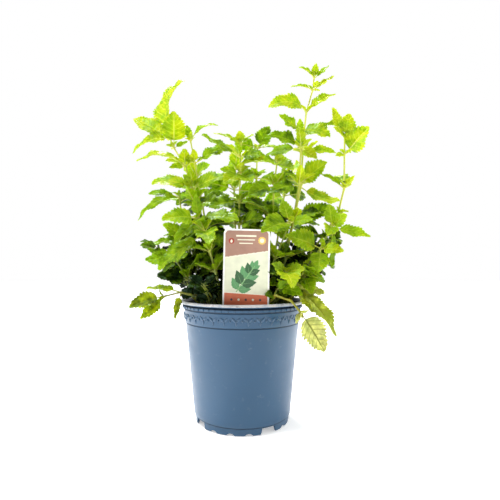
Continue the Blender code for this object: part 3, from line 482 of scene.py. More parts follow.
# Each stem is its joints from the soil upwards: (x, y, z) and the leaves that grow there
STEMS = {
    "stem_tall_right": [
        ((24, 6, STEM_COLLAR),),
        ((38, 2, 149), lone(75, 36), Leaf((26, -20, -2), TO_FRONT, 40, 0.8)),
        ((50, 0, 187), Leaf((37, -14, 15), TO_FRONT, 25, 0.66), Leaf((28, 8, 0), UPWARD, 30, 0.6),
         Leaf((-22, 18, 10))),
        ((58.5, 0, 226), Leaf((22, -18, 17), TO_FRONT, 30, 1.0), Leaf((-22, 22, 8))),
        ((60, 0, 257), Leaf((35, 8, 2), HALF_UP, 40, 0.5)),
        ((61, 0, 275), Leaf((36, 8, 20), TO_FRONT, -12, 0.4)),
        ((64, 0, 298.5), Leaf((-39, -10, 1), TO_FRONT, 95, 0.72), Leaf((29, -2, 18), HALF_UP, 50, 0.52)),
        ((70.5, 0, 321), Leaf((-22, -2, 2), HALF_UP, 60, 0.4), Leaf((21, -2, 14), HALF_UP, 10, 0.42)),
        ((72, 0, 333.5), Leaf((-15, -3, 10), HALF_UP, 50, 0.6), Leaf((14, -3, 11), HALF_UP, -10, 0.55),
         Leaf((1, -4, 13), STANDING, 10, 0.75)),
    ],
    "stem_lit_right": [
        ((30, -10, STEM_COLLAR),),
        ((41, -14, 152), lone(330, 34), Leaf((-4, -20, 14), TO_FRONT, 30)),
        ((48, -16, 186), *pair(200, 34)),
        ((54, -15, 222), Leaf((-28, -8, -8), TO_FRONT, 45, 0.75), Leaf((36, -10, -17), HALF_UP, -45, 0.62)),
        ((56, -15, 258), Leaf((-33, -6, 10), TO_FRONT, 50, 0.6), Leaf((13, -10, -13), STANDING, 10, 0.8),
         Leaf((-33, 8, -4), TO_FRONT, 30, 0.5)),
        ((55, -15, 273), Leaf((-20, -6, 15), TO_FRONT_RIGHT, 10, 0.75),
         Leaf((26, -12, -9), TO_FRONT, 70, 0.95), Leaf((-1, -8, 10), STANDING, 10, 0.8)),
    ],
    "stem_far_right": [
        ((38, 6, STEM_COLLAR),),
        ((58, -4, 148), lone(20, 36), lone(60, 30)),
        ((77, -14, 173), Leaf((-18, 22, 10)), Leaf((20, 24, -2))),
        ((89.5, -20, 194),),
        ((95.5, -20, 218), Leaf((-20, 3, 14), HALF_UP, 40, 0.4), Leaf((9, -3, 11), TO_FRONT_LEFT, 10, 0.65),
         Leaf((-2, 20, 16), UPWARD, 60, 0.9)),
        ((96, -20, 250), Leaf((-10, -6, -3), TO_FRONT, 25, 0.7), Leaf((22, -4, 25), TO_BACK, 12, 1.05)),
        ((96.5, -20, 266), Leaf((-11, 0, 29), TO_FRONT_LEFT, 8, 0.42),
         Leaf((7, -6, 20), STANDING, 12, 1.05), Leaf((-13, -8, 8), TO_FRONT, 20, 0.85),
         Leaf((6, 20, 8))),
    ],
    "stem_right_front": [
        ((36, -22, STEM_COLLAR),),
        ((52, -28, 136), lone(300, 32), Leaf((24, -8, 10), TO_FRONT, 30)),
        ((71, -31, 161), Leaf((-32, -10, 11), TO_FRONT, 30, 0.85), Leaf((-4, -11, -21), STANDING, 20, 1.0),
         Leaf((17, -14, -3), TO_FRONT, 30, 0.85)),
        ((81, -31, 180.6), Leaf((33, -6, -9), TO_FRONT, 5, 0.5), Leaf((-3, -4, 20), TO_FRONT, 30, 0.9),
         Leaf((11, -12, 8), TO_FRONT_RIGHT, 25, 0.9), Leaf((1, -8, -36), TO_FRONT_RIGHT, 30, 0.3),
         Leaf((-8, -20, -9), TO_FRONT, 40, 0.85)),
    ],
    "stem_centre_front": [
        ((15, -22, STEM_COLLAR),),
        ((30, -28, 152), lone(100, 28)),
        ((43, -31, 184), Leaf((-27, -20, -10), TO_FRONT, 50, 0.9), Leaf((19, -12, 2), TO_FRONT, 30, 0.7),
         Leaf((-6, 6, 22), TO_FRONT, 20, 0.7)),
    ],
    "stem_centre_mid": [
        ((12, -4, STEM_COLLAR),),
        ((22, -8, 150), lone(250, 30)),
        ((29, -9, 190), *pair(240, 36), Leaf((16, -24, -6), TO_FRONT, 40)),
        ((30.7, -9, 222), Leaf((-22, -16, -11), TO_FRONT, 45, 0.85), Leaf((18, 8, 10), UPWARD, 40)),
        ((33.6, -8, 245), Leaf((-37, 4, -2), HALF_UP, 62, 0.68), Leaf((14, -16, -10), TO_FRONT, 35, 0.8),
         Leaf((-14, -16, -4), TO_FRONT, 35, 0.9), Leaf((5, 4, 12), TO_FRONT, 10, 0.7)),
    ],
    "stem_centre_left": [
        ((-4, 4, STEM_COLLAR),),
        ((-4, 2, 150), *pair(200, 36)),
        ((-3, 0, 186), *pair(215, 38), Leaf((24, -22, 0), TO_FRONT, 40)),
        ((-3, 0, 208), Leaf((-28, -20, -8), TO_FRONT, 40, 0.8), Leaf((30, -12, -6), TO_FRONT, 40, 0.75)),
        ((-2, 0, 236), Leaf((-15, -18, -13), TO_FRONT, 35, 0.85), Leaf((12, -19, -15), TO_FRONT, 35, 0.9),
         Leaf((-19, -6, 6), TO_FRONT, 25, 0.7)),
        ((-2, 0, 253), Leaf((-39, 6, 25), UPWARD, 5, 0.42), Leaf((22, -10, -6), TO_FRONT, 40, 0.8)),
        ((-1, 0, 267), Leaf((-2, -2, 12), STANDING, 10, 1.1), Leaf((-27, -3, 9), UPWARD, 35, 0.35),
         Leaf((12, -5, 7), UPWARD, 50, 0.85), Leaf((-12, -7, 0), TO_FRONT, 35, 0.8)),
    ],
    "stem_centre_back": [
        ((8, 22, STEM_COLLAR),),
        ((12, 26, 155), *pair(60, 36)),
        ((14, 28, 200), *pair(150, 40), Leaf((-28, -16, 10), TO_FRONT, 30),
         Leaf((22, -18, 8), TO_FRONT, 30)),
        ((15, 27, 238), *pair(35, 34)),
        ((16, 26, 270), Leaf((12, -4, 23), STANDING, 12, 0.9), Leaf((-24, 2, 6)), Leaf((26, 6, 0), UPWARD)),
    ],
    "stem_left_main": [
        ((-18, -6, STEM_COLLAR),),
        ((-29, -6, 148), lone(235, 34), lone(300, 30)),
        ((-39, -3, 180), *pair(80, 34), Leaf((-24, -18, -4), TO_FRONT, 40)),
        ((-46.5, 3, 206), Leaf((-8, 24, 8))),
        ((-50, 7, 222), Leaf((36, -12, 12), TO_FRONT, 38, 0.7), Leaf((-40, -6, 5), HALF_UP, 72, 0.68),
         Leaf((-8, -10, 13), TO_FRONT, 25, 0.75)),
        ((-58.5, 15, 247), Leaf((-49, -4, 5), UPWARD, 90, 0.46), Leaf((-15, -8, -2), TO_FRONT, 30, 0.75)),
        ((-72, 21, 269), Leaf((1, -10, 35), TO_BACK, 10, 1.05), Leaf((14, 0, 7), TO_FRONT, 20, 0.7)),
        ((-76.5, 24, 280), Leaf((12, 12, 69), TO_SIDE, 72, 0.7), Leaf((-26, -8, -6), TO_FRONT, 42, 0.85),
         Leaf((-43, 0, -9), UPWARD, 60, 0.36), Leaf((-42, 2, 25), TO_FRONT, 20, 0.62)),
    ],
    "stem_left_slim": [
        ((-24, 12, STEM_COLLAR),),
        ((-33, 14, 160), lone(250, 36), lone(120, 34)),
        ((-41, 15, 208), *pair(110, 36), Leaf((28, -18, 6), TO_FRONT, 30)),
        ((-49, 15, 251), Leaf((37, -6, 22), TO_FRONT, 42, 0.5), Leaf((-14, -4, 9), TO_FRONT, 20, 0.8)),
        ((-53.5, 15, 274), Leaf((28, -2, 17), UPWARD, 85, 0.3), Leaf((-4, 0, 17), STANDING, 10, 0.6)),
    ],
    "stem_left_front": [
        ((-18, -26, STEM_COLLAR),),
        ((-24, -31, 140), lone(120, 28)),
        ((-29, -34, 158),),
        ((-33, -35, 175), Leaf((-40, -11, -32), TO_FRONT_LEFT, 18, 0.55),
         Leaf((20, -4, -12), TO_FRONT, 30, 0.8), Leaf((6, -42, -12), TO_FRONT, 45, 0.6)),
        ((-40, -36, 187), Leaf((-29, -14, -2), TO_FRONT, 50, 0.85), Leaf((-1, -6, 21), STANDING, 6, 0.6),
         Leaf((36, -14, -3), UPWARD, 45, 0.7), Leaf((9, -13, -4), TO_FRONT, 30, 0.9),
         Leaf((-19, -8, -22), TO_FRONT_LEFT, 20, 0.65)),
    ],
    "stem_left_low": [
        ((-32, 2, STEM_COLLAR),),
        ((-46, 3, 140), lone(235, 34), Leaf((-24, 12, 12), TO_FRONT, 30)),
        ((-57, 4, 172), Leaf((-43, 2, -7), UPWARD, 15, 0.26), Leaf((-20, -10, 14), TO_FRONT, 30, 0.85),
         Leaf((-18, -14, -4), TO_FRONT, 35, 0.9)),
        ((-63, 4, 214), Leaf((-36, -2, -14), UPWARD, 35, 0.4),
         Leaf((-36, -8, -28), TO_FRONT_LEFT, 80, 0.28), Leaf((-32, 5, 5), HALF_UP, 30, 0.45),
         Leaf((-16, -10, -14), TO_FRONT, 30, 0.85)),
    ],
    "stem_left_outer": [
        ((-38, -12, STEM_COLLAR),),
        ((-50, -15, 132), Leaf((-29, -8, 1), TO_FRONT_LEFT, 50, 0.75), Leaf((6, 22, 4))),
        ((-62, -18, 150), Leaf((-27, -7, 1), TO_FRONT, 42, 0.75), Leaf((-27, -2, 11), TO_FRONT, 20, 0.5),
         Leaf((12, -14, 6), TO_FRONT, 35, 0.8), Leaf((-8, -14, -10), TO_FRONT_LEFT, 30, 0.8)),
    ],
    "trailing_left": [
        ((-40, -22, STEM_COLLAR),),
        ((-47, -26, 118.5),),
        ((-56, -29, 121), Leaf((-32, 4, 3), HALF_UP, 50, 0.3),
         Leaf((-3, -12, -22), TO_FRONT_LEFT, 10, 0.4)),
        ((-70, -30, 117.5), Leaf((-31, -5, -9), TO_FRONT, 30, 0.7),
         Leaf((-21, -10, -17), TO_FRONT, 15, 0.62)),
    ],
    "trailing_right": [
        ((22, -37, STEM_COLLAR),),
        ((29, -42.5, 119),),
        ((41, -49, 115.5),),
        ((48, -56, 107), Leaf((19, -6, -32), TO_FRONT_RIGHT, 15, 1.0),
         Leaf((-3, -1, -10), TO_FRONT, 10, 0.5)),
    ],
    "stem_right_low": [
        ((42, -18, STEM_COLLAR),),
        ((50, -24, 124), Leaf((30, -26, -38), TO_FRONT_RIGHT, 50, 0.4),
         Leaf((11, -18, -17), TO_FRONT_RIGHT, 50, 0.9), Leaf((24, -4, -6), TO_FRONT_RIGHT, 50, 0.7)),
        ((57, -28, 137), Leaf((16, -8, 3), TO_FRONT, 40, 0.8), Leaf((-15, -12, 5), TO_FRONT, 30, 0.9),
         Leaf((4, -17, -12), TO_FRONT, 30, 0.9), Leaf((6, 20, 6))),
    ],
    "stem_front_low": [
        ((26, -34, STEM_COLLAR),),
        ((33, -38, 126), Leaf((18, -14, -5), TO_FRONT, 50, 0.8), Leaf((-8, 18, 4))),
        ((38, -39, 139), Leaf((16, -9, 4), TO_FRONT, 35, 0.95), Leaf((-12, -10, 8), TO_FRONT, 30, 0.95),
         Leaf((3, -36, -10), TO_FRONT, 45, 0.7)),
    ],
    "stem_inner_left": [
        ((-12, 18, STEM_COLLAR),),
        ((-18, 20, 134), lone(245, 36), lone(160, 36)),
        ((-22, 21, 158), *pair(100, 32), Leaf((-16, -28, 8), TO_FRONT), Leaf((14, -26, -4), TO_FRONT)),
    ],
    "stem_back_left": [
        ((-26, 32, STEM_COLLAR),),
        ((-36, 42, 150), *pair(130, 38)),
        ((-44, 49, 188), *pair(45, 36)),
        ((-49, 53, 222), *pair(150, 34)),
        ((-51, 54, 246), *pair(60, 30, 40)),
    ],
    "stem_back_mid": [
        ((-4, 40, STEM_COLLAR),),
        ((-6, 45, 152), *pair(20, 38)),
        ((-8, 46, 195), *pair(95, 33)),
        ((-9, 47, 230), *pair(15, 36)),
        ((-8, 47, 252), *pair(100, 30, 40)),
    ],
    "stem_back_right": [
        ((24, 36, STEM_COLLAR),),
        ((34, 44, 150), *pair(120, 36)),
        ((42, 49, 190), *pair(40, 36)),
        ((47, 51, 224), *pair(130, 34)),
        ((49, 51, 248), *pair(50, 30, 45)),
    ],
    "stem_back_low": [
        ((-42, 16, STEM_COLLAR),),
        ((-56, 30, 140), *pair(170, 36)),
        ((-64, 36, 165), *pair(110, 36), Leaf((-16, 8, 18))),
    ],
    "stem_back_side": [
        ((41, 20, STEM_COLLAR),),
        ((58, 32, 140), *pair(20, 36)),
        ((66, 38, 166), *pair(70, 36), Leaf((14, 8, 18))),
    ],
}


def leaf_axes(leaf, joint):
    """The direction of the leaf's tip, its upper side and its left side."""
    along = Vector(leaf.reach).normalized()
    outward, up = OUTWARD_FACE
    face = Vector(leaf.face) if leaf.face else Vector((*(joint.xy.normalized() * outward), up))
    upper = (face - face.dot(along) * along).normalized()
    return along, upper, along.cross(upper)


def half_width(leaf, s):
    """Half the blade's width at share s of its length: broad near the base and blunt at the tip."""
    blade = Vector(leaf.reach).length * (1 - PETIOLE_SHARE)
    return 0.5 * leaf.width * blade * math.sin(math.pi * clamp(s) ** BROAD_BASE) ** BLUNT_TIP


def leaf_point(leaf, joint, s, across):
    """A point of the leaf and the blade's normal there. Share s runs from 0 to 1 over the blade and is below
    0 on the leaf stalk, down to -1 at the joint. Across is in millimetres from the midrib."""
    along, upper, side = leaf_axes(leaf, joint)
    length = Vector(leaf.reach).length
    share = PETIOLE_SHARE * (1 + s) if s < 0 else PETIOLE_SHARE + (1 - PETIOLE_SHARE) * s
    half_arch = math.radians(leaf.arch or 0.1) / 2
    radius = length / (2 * math.sin(half_arch))
    turned = half_arch * (1 - 2 * share)
    spine = joint + along * (length / 2 - radius * math.sin(turned))
    spine = spine + upper * radius * (math.cos(turned) - math.cos(half_arch))
    tangent = along * math.cos(turned) + upper * math.sin(turned)
    normal = upper * math.cos(turned) - along * math.sin(turned)
    turn = Quaternion(tangent, math.radians(leaf.twist) * max(s, 0.0))
    normal, sideways = turn @ normal, turn @ side
    if s <= 0:
        return spine + sideways * across, normal
    reach = min(abs(across) / max(half_width(leaf, s), PETIOLE_HALF_WIDTH), 1.0)
    fold = math.radians(leaf.fold)
    ripple = math.sin(RIPPLES * math.pi * s + leaf.phase + (RIPPLE_SHIFT if across < 0 else 0.0))
    lift = abs(across) * math.sin(fold) + leaf.wave * length * ripple * reach**2
    return spine + sideways * across * math.cos(fold) + normal * lift, normal


def leaf_surface(leaf, joint):
    """The leaf's points, each with the normal there, and the triangles between them. The stalk starts as
    two points at the joint. Over the blade each row is right, midrib and left, and the rows end on a tooth
    and in a notch by turns, which gives the toothed edge. The tip is one point."""
    teeth = next(count for length, count in TEETH_OF_LENGTH if Vector(leaf.reach).length >= length)
    stations = [(0.0, PETIOLE_HALF_WIDTH)]
    for step in range(1, 2 * teeth):
        s = step / (2 * teeth)
        stations.append((s, half_width(leaf, s) * (1.0 if step % 2 else 1.0 - TOOTH_DEPTH)))
    points = [leaf_point(leaf, joint, -1.0, side * PETIOLE_HALF_WIDTH) for side in (-1, 1)]
    points += [leaf_point(leaf, joint, s, side * reach) for s, reach in stations for side in (-1, 0, 1)]
    points.append(leaf_point(leaf, joint, 1.0, 0.0))
    faces = [(0, 3, 2), (0, 1, 3), (1, 4, 3)]
    for a in range(STALK_POINTS, 3 * len(stations) - 1, 3):
        b = a + 3
        faces += [(a, a + 1, b), (a + 1, b + 1, b), (a + 1, a + 2, b + 1), (a + 2, b + 2, b + 1)]
    last, tip = 3 * len(stations) - 1, 3 * len(stations) + 2
    faces += [(last, last + 1, tip), (last + 1, last + 2, tip)]
    return points, faces


def shell_of(points, faces, pad):
    """A closed shell round a leaf's surface at this distance, for the test that leaves keep clear."""
    size = len(points)
    top = [point + normal * pad for point, normal in points]
    bottom = [point - normal * pad for point, normal in points]
    both = list(faces) + [tuple(size + corner for corner in reversed(face)) for face in faces]
    edges = {}
    for face in faces:
        for a, b in zip(face, face[1:] + face[:1]):
            edges[frozenset((a, b))] = edges.get(frozenset((a, b)), 0) + 1
    for edge, count in edges.items():
        if count == 1:
            a, b = edge
            both.append((a, b, size + b, size + a))
    return top + bottom, both


def tube_rings(line, radii, sides, square=0.0):
    """The points of a tube along a line. Square pulls its section towards four rounded corners."""
    points = []
    for index, (centre, radius) in enumerate(zip(line, radii)):
        along = line[min(index + 1, len(line) - 1)] - line[max(index - 1, 0)]
        turn = along.to_track_quat("Z", "X")
        for side in range(sides):
            angle = 2 * math.pi * side / sides
            spoke = Vector((math.cos(angle), math.sin(angle), 0)) * radius
            points.append(centre + turn @ (spoke * (1 + square * math.cos(4 * angle + math.pi))))
    return points


def tube_walls(rings, sides):
    """The faces between a tube's rings."""
    faces = []
    for ring in range(rings - 1):
        for side in range(sides):
            a, b = ring * sides + side, ring * sides + (side + 1) % sides
            faces.append((a, b, b + sides, a + sides))
    return faces


def tube_shell(line, radii, pad, sides=6):
    """A closed tube round a stem at this distance from its surface."""
    points = tube_rings(line, [radius + pad for radius in radii], sides)
    caps = [tuple(range(sides)), tuple(range(len(points) - sides, len(points)))]
    return points, tube_walls(len(line), sides) + caps


class Obstacle:
    """A closed shell that other shells are tested against."""

    def __init__(self, points, faces, owner):
        self.owner = owner
        self.tree = BVHTree.FromPolygons(points, faces)
        self.low = [min(p[axis] for p in points) for axis in range(3)]
        self.high = [max(p[axis] for p in points) for axis in range(3)]

    def meets(self, other):
        apart = any(self.low[a] > other.high[a] or other.low[a] > self.high[a] for a in range(3))
        return not apart and bool(self.tree.overlap(other.tree))


def keep_out():
    """The pot up to its lip, and the label, as obstacles that no leaf may cross."""
    line = [Vector((0, 0, 1.0)), Vector((0, 0, POT_HEIGHT + 0.6))]
    pot = Obstacle(*tube_shell(line, [LIP_RADIUS, LIP_RADIUS], 0.9, sides=32), "pot")
    half, thick = LABEL_WIDTH / 2 + 0.8, 1.2
    ring = ((-half, -thick), (half, -thick), (half, thick), (-half, thick))
    corners = [label_matrix() @ Vector((*corner, z)) for z in (100.0, LABEL_TOP + 0.8) for corner in ring]
    faces = [(0, 1, 2, 3), (4, 5, 6, 7), (0, 1, 5, 4), (1, 2, 6, 5), (2, 3, 7, 6), (3, 0, 4, 7)]
    return [pot, Obstacle(corners, faces, "label")]


def label_matrix():
    """Where the label stands, leaning a little in its own plane about its foot."""
    lean = Matrix.Rotation(math.radians(LABEL_LEAN_DEGREES), 4, "Y")
    foot = Vector((LABEL_X, LABEL_Y, LABEL_CARD_LOW))
    return Matrix.Translation(foot) @ lean @ Matrix.Translation((0, 0, -LABEL_CARD_LOW))


def swung(reach, turn, tilt):
    """The reach turned about the vertical and tilted up, both in degrees."""
    reach = Vector(reach)
    side = Vector((-reach.y, reach.x, 0.0)) if reach.xy.length > 1 else Vector((1, 0, 0))
    return Quaternion((0, 0, 1), math.radians(turn)) @ (Quaternion(side, math.radians(-tilt)) @ reach)


def nudges():
    """Small changes of direction to try on a leaf that would cross another, the smallest first."""
    yield 0.0, 0.0, 1.0
    for shrink in (1.0, 0.86, 0.72):
        for size in (6, 12, 18, 25, 33):
            for turn, tilt in ((0, 1), (0, -1), (1, 0), (-1, 0), (1, 1), (-1, 1), (1, -1), (-1, -1)):
                yield turn * size, tilt * size, shrink


def varied(leaf, chance):
    """The leaf with the small differences that no two leaves share."""
    reach = tuple(swung(leaf.reach, chance.uniform(-3, 3), 0.0))
    return replace(leaf, reach=reach, **drawn(LEAF_RANGES, chance))


def settled(leaf, joint, owner, obstacles, blades):
    """The leaf turned as little as it takes to keep clear of other stems, the pot, the label and the blades
    of its own stem, with its shell and its blade's; None where there is no room."""
    others = [obstacle for obstacle in obstacles if obstacle.owner != owner]
    for turn, tilt, shrink in nudges():
        tried = replace(leaf, reach=tuple(swung(leaf.reach, turn, tilt) * shrink))
        points, faces = leaf_surface(tried, joint)
        shell = Obstacle(*shell_of(points, faces, PAD), owner)
        blade_faces = [face for face in faces if min(face) >= STALK_POINTS]
        blade = Obstacle(*shell_of(points, blade_faces, BLADE_THICKNESS / 2), owner)
        crosses = any(other.meets(shell) for other in others) or any(near.meets(blade) for near in blades)
        if not crosses:
            return tried, shell, blade
    return None


def stem_lines():
    """Each stem's centre line and radii, from its root in the soil to its tip."""
    lines = {}
    for name, joints in STEMS.items():
        points = [Vector(joint[0]) for joint in joints]
        line = [Vector((points[0].x, points[0].y, STEM_ROOT)), *points]
        shares = [index / (len(line) - 1) for index in range(len(line))]
        lines[name] = (line, [STEM_RADIUS + (STEM_TIP_RADIUS - STEM_RADIUS) * share for share in shares])
    return lines


def grown_leaves(lines):
    """Every leaf that finds room: for each stem, the leaves of each joint and the point they start from."""
    chance = random.Random(SEED)
    obstacles = keep_out()
    for name, (line, radii) in lines.items():
        obstacles.append(Obstacle(*tube_shell(line[1:], radii[1:], PAD / 2), name))
    grown = {}
    for name, joints in STEMS.items():
        grown[name], blades = [], []
        line = lines[name][0]
        for below, joint, (_, *leaves) in zip(line, line[1:], joints):
            start = joint - (joint - below).normalized() * NODE_HEIGHT / 2
            placed = []
            for leaf in leaves:
                found = settled(varied(leaf, chance), start, name, obstacles, blades)
                if found:
                    placed.append(found[0])
                    obstacles.append(found[1])
                    blades.append(found[2])
            grown[name].append((start, placed))
    return grown


def spine_frames(leaf, joint, s):
    """For each share s of the blade: the midrib's point, the direction along it, the normal and the left
    side, as rows of an array. The same curve as leaf_point's."""
    along, upper, side = (np.array(axis) for axis in leaf_axes(leaf, joint))
    length = Vector(leaf.reach).length
    share = np.where(s < 0, PETIOLE_SHARE * (1 + s), PETIOLE_SHARE + (1 - PETIOLE_SHARE) * s)
    half_arch = math.radians(leaf.arch or 0.1) / 2
    radius = length / (2 * math.sin(half_arch))
    turned = half_arch * (1 - 2 * share)
    sin, cos = np.sin(turned)[:, None], np.cos(turned)[:, None]
    centre = np.array(joint) + along * (length / 2 - radius * sin)
    centre = centre + upper * radius * (cos - math.cos(half_arch))
    tangent = along * cos + upper * sin
    normal = upper * cos - along * sin
    twist = np.radians(leaf.twist) * np.maximum(s, 0.0)[:, None]
    sideways = side * np.cos(twist) + np.cross(tangent, side) * np.sin(twist)
    normal = normal * np.cos(twist) + np.cross(tangent, normal) * np.sin(twist)
    return centre, tangent, normal, sideways


def blade_grid(leaf, joint, chance):
    """The blade's middle surface as a grid of points, with each point's place across (-1 to 1) and its place
    between the side veins. The edge is cut into blunt, forward-leaning teeth, and the blade is quilted
    between its veins."""
    length = Vector(leaf.reach).length
    blade = length * (1 - PETIOLE_SHARE)
    teeth = max(4, round(blade / TOOTH_LENGTH))
    veins = min(8, max(3, round(length / VEIN_SPACING)))
    half_columns = next(count for least, count in HALF_COLUMNS if length > least)
    s = np.array([(tooth + place) / teeth for tooth in range(teeth) for place in TOOTH_PLACES] + [0.995])
    cut = np.array([cut for _ in range(teeth) for cut in TOOTH_CUTS] + [0.0]) * TOOTH_CUT
    u = np.linspace(-1, 1, 2 * half_columns + 1)
    u = np.sign(u) * np.abs(u) ** 0.92
    width = np.array([max(half_width(leaf, share), PETIOLE_HALF_WIDTH * 0.7) for share in s])
    width[-1] = TIP_HALF_WIDTH
    edge = np.abs(u)[None, :] ** 5
    across = width[:, None] * u[None, :] * (1 - edge * cut[:, None])
    lean = edge * (TOOTH_CUT - cut)[:, None] / TOOTH_CUT * TOOTH_LEAN / teeth
    centre, tangent, normal, sideways = spine_frames(leaf, joint, s)
    reach = np.abs(across) / np.maximum(width, PETIOLE_HALF_WIDTH)[:, None]
    fold = math.radians(leaf.fold)
    ripple = np.sin(RIPPLES * np.pi * s[:, None] + leaf.phase + np.where(across < 0, RIPPLE_SHIFT, 0.0))
    lift = np.abs(across) * math.sin(fold) + leaf.wave * length * ripple * reach**2
    slant = (s[:, None] - VEIN_SLANT * np.abs(u)[None, :] ** 1.15) * veins + chance.uniform(0, 1)
    dome = np.abs(np.sin(np.pi * slant)) ** 0.75 * np.clip(np.abs(u) / CREASE_WIDTH, 0, 1)[None, :]
    fade = np.clip(width / (0.3 * width.max()), 0, 1)[:, None]
    cell = np.minimum(blade / veins, width / (VEIN_SLANT * veins))
    puff = np.minimum(QUILT * length, QUILT_OF_CELL * cell)[:, None]
    lift = lift + puff * (dome - 0.45) * fade * (1 - 0.35 * edge)
    pucker = np.sin(2.1 * across + 9 * s[:, None] + leaf.phase) * np.sin(31 * s[:, None] + 1.7 * across)
    lift = lift + PUCKER * length * pucker * fade
    curl = np.sin(6.1 * s[:, None] + 2 * leaf.phase + np.where(u < 0, 2.0, 0.0)[None, :])
    lift = lift + EDGE_CURL * length * curl * edge * fade
    points = centre[:, None, :] + sideways[:, None, :] * (across * math.cos(fold))[:, :, None]
    points = points + normal[:, None, :] * lift[:, :, None]
    points = points + tangent[:, None, :] * (lean * blade)[:, :, None]
    return points, np.broadcast_to(u, across.shape), slant


def grid_normals(points):
    """Unit normals of a grid of points, towards the leaf's upper side."""
    along = np.gradient(points, axis=0)
    across = np.gradient(points, axis=1)
    normals = np.cross(across, along)
    return normals / np.maximum(np.linalg.norm(normals, axis=2), 1e-9)[:, :, None]


class Sheet:
    """The points, faces and colour of one piece of foliage as it grows. Each point carries its vein
    coordinates and its tone: how young and lit, how faded, a number of the leaf's own, and how broad the
    blade is there, which its veins and crinkles deepen with."""

    def __init__(self):
        self.points = []
        self.veins = []
        self.tones = []
        self.faces = []
        self.finish = []
        self.size = 0

    def add(self, points, veins, tone, faces, finish):
        self.points.append(points)
        self.veins.append(veins)
        self.tones.append(np.broadcast_to(tone, (len(points), 4)))
        self.faces += [[self.size + corner for corner in face] for face in faces]
        self.finish += [finish] * len(faces)
        self.size += len(points)

    def leaf(self, leaf, joint, tone, chance):
        """A blade as a thin closed shell, with its stalk and midrib as one tapering tube under it."""
        points, u, slant = blade_grid(leaf, joint, chance)
        normals = grid_normals(points)
        rows, columns = u.shape
        half = LEAF_THICKNESS / 2
        both = np.concatenate([points + normals * half, points - normals * half]).reshape(-1, 3)
        veins = np.stack([u, slant], axis=2).reshape(-1, 2)
        half_width = np.linalg.norm(points[:, 0] - points[:, -1], axis=1) / 2
        tones = np.tile(tone, (rows, columns, 1))
        tones[:, :, 3] = np.clip(half_width / BROAD_BLADE, 0.0, 1.0)[:, None]
        tones = tones.reshape(-1, 4)
        top = np.arange(rows * columns).reshape(rows, columns)
        under = rows * columns
        a, b, c, d = (part.ravel() for part in (top[:-1, :-1], top[:-1, 1:], top[1:, 1:], top[1:, :-1]))
        quads = np.stack([a, b, c, d], axis=1)
        rim = np.array([*top[0, :], *top[1:, -1], *top[-1, -2::-1], *top[-2:0:-1, 0]])
        after = np.roll(rim, -1)
        walls = np.stack([after, rim, rim + under, after + under], axis=1)
        faces = np.concatenate([quads, quads[:, ::-1] + under, walls])
        self.add(both, np.concatenate([veins, veins]), np.concatenate([tones, tones]), faces.tolist(), 0)
        self.rib(leaf, joint, points[:, columns // 2], normals[:, columns // 2], tone)

    def rib(self, leaf, joint, midrib, normals, tone):
        """The leaf stalk from the stem, going on under the blade as its midrib."""
        stalk, _, upper, _ = spine_frames(leaf, joint, np.linspace(-1.0, -0.12, 6))
        sunk = midrib[1:-2:3] - normals[1:-2:3] * RIB_RADII[1] * 0.8
        line = [Vector(p) for p in np.concatenate([stalk - upper * RIB_RADII[1] * 0.4, sunk])]
        root, base, tip = (radius * min(1.0, 0.35 + Vector(leaf.reach).length / 40) for radius in RIB_RADII)
        blade = max(len(line) - len(stalk), 1)
        radii = list(np.linspace(root, base, len(stalk))) + list(np.linspace(base, tip, blade))
        self.tube(line, radii[: len(line)], tone, RIB_SIDES)

    def tube(self, line, radii, tone, sides, square=0.0, finish=1):
        """A closed tube along a line of points, as tube_rings makes it."""
        points = np.array([list(point) for point in tube_rings(line, radii, sides, square)])
        caps = [tuple(reversed(range(sides))), tuple(range(len(points) - sides, len(points)))]
        faces = caps + tube_walls(len(line), sides)
        self.add(points, np.full((len(points), 2), 0.5), tone, faces, finish)

    def make(self, name, finishes, slot_name, replaced=()):
        """The grown shape as a piece, in metres."""
        mesh = bpy.data.meshes.new(name)
        mesh.from_pydata((np.concatenate(self.points) * MM).tolist(), [], self.faces)
        veins = np.concatenate(self.veins)
        corners = np.zeros(len(mesh.loops), np.int64)
        mesh.loops.foreach_get("vertex_index", corners)
        layer = mesh.uv_layers.new(name="veins")
        layer.uv.foreach_set("vector", veins[corners].astype(np.float32).ravel())
        tones = mesh.attributes.new("tone", "FLOAT_COLOR", "POINT")
        tones.data.foreach_set("color", np.concatenate(self.tones).astype(np.float32).ravel())
        mesh.polygons.foreach_set("material_index", np.array(self.finish, np.int32))
        new_piece(mesh, finishes, replaced)
        smooth(mesh, 70)


def smooth_line(points, steps):
    """A Catmull-Rom curve through the points, with so many steps between neighbours."""
    ends = [2 * points[0] - points[1], *points, 2 * points[-1] - points[-2]]
    line = []
    for a, b, c, d in zip(ends, ends[1:], ends[2:], ends[3:]):
        for step in range(steps):
            t = step / steps
            speed, bend = (c - a) * t, (2 * a - 5 * b + 4 * c - d) * t**2
            line.append(0.5 * (2 * b + speed + bend + (3 * b - a - 3 * c + d) * t**3))
    return [*line, points[-1]]


def towards(here, end):
    """A short way from one point of a stem towards the next."""
    return here + (end - here).normalized() * min(BEND_REACH, (end - here).length * BEND_SHARE)


def softened(points):
    """The stem's own points with one more on each side of every bend, so that it turns gently."""
    line = [points[0]]
    for before, here, after in zip(points, points[1:], points[2:]):
        line += [towards(here, before), here, towards(here, after)]
    return [*line, points[-1]]


def faded_share(name, height):
    """How far the leaves that grow on a stem at a height have faded."""
    share, below = FADED.get(name, (0.0, 0.0))
    return share if height < below else 0.0


def stem_tone(name, height):
    """How young, how faded and how light a stem is at a height."""
    return (clamp((height - STEM_TONE_HEIGHT) / STEM_TONE_HEIGHT), faded_share(name, height), 0.5, 1.0)


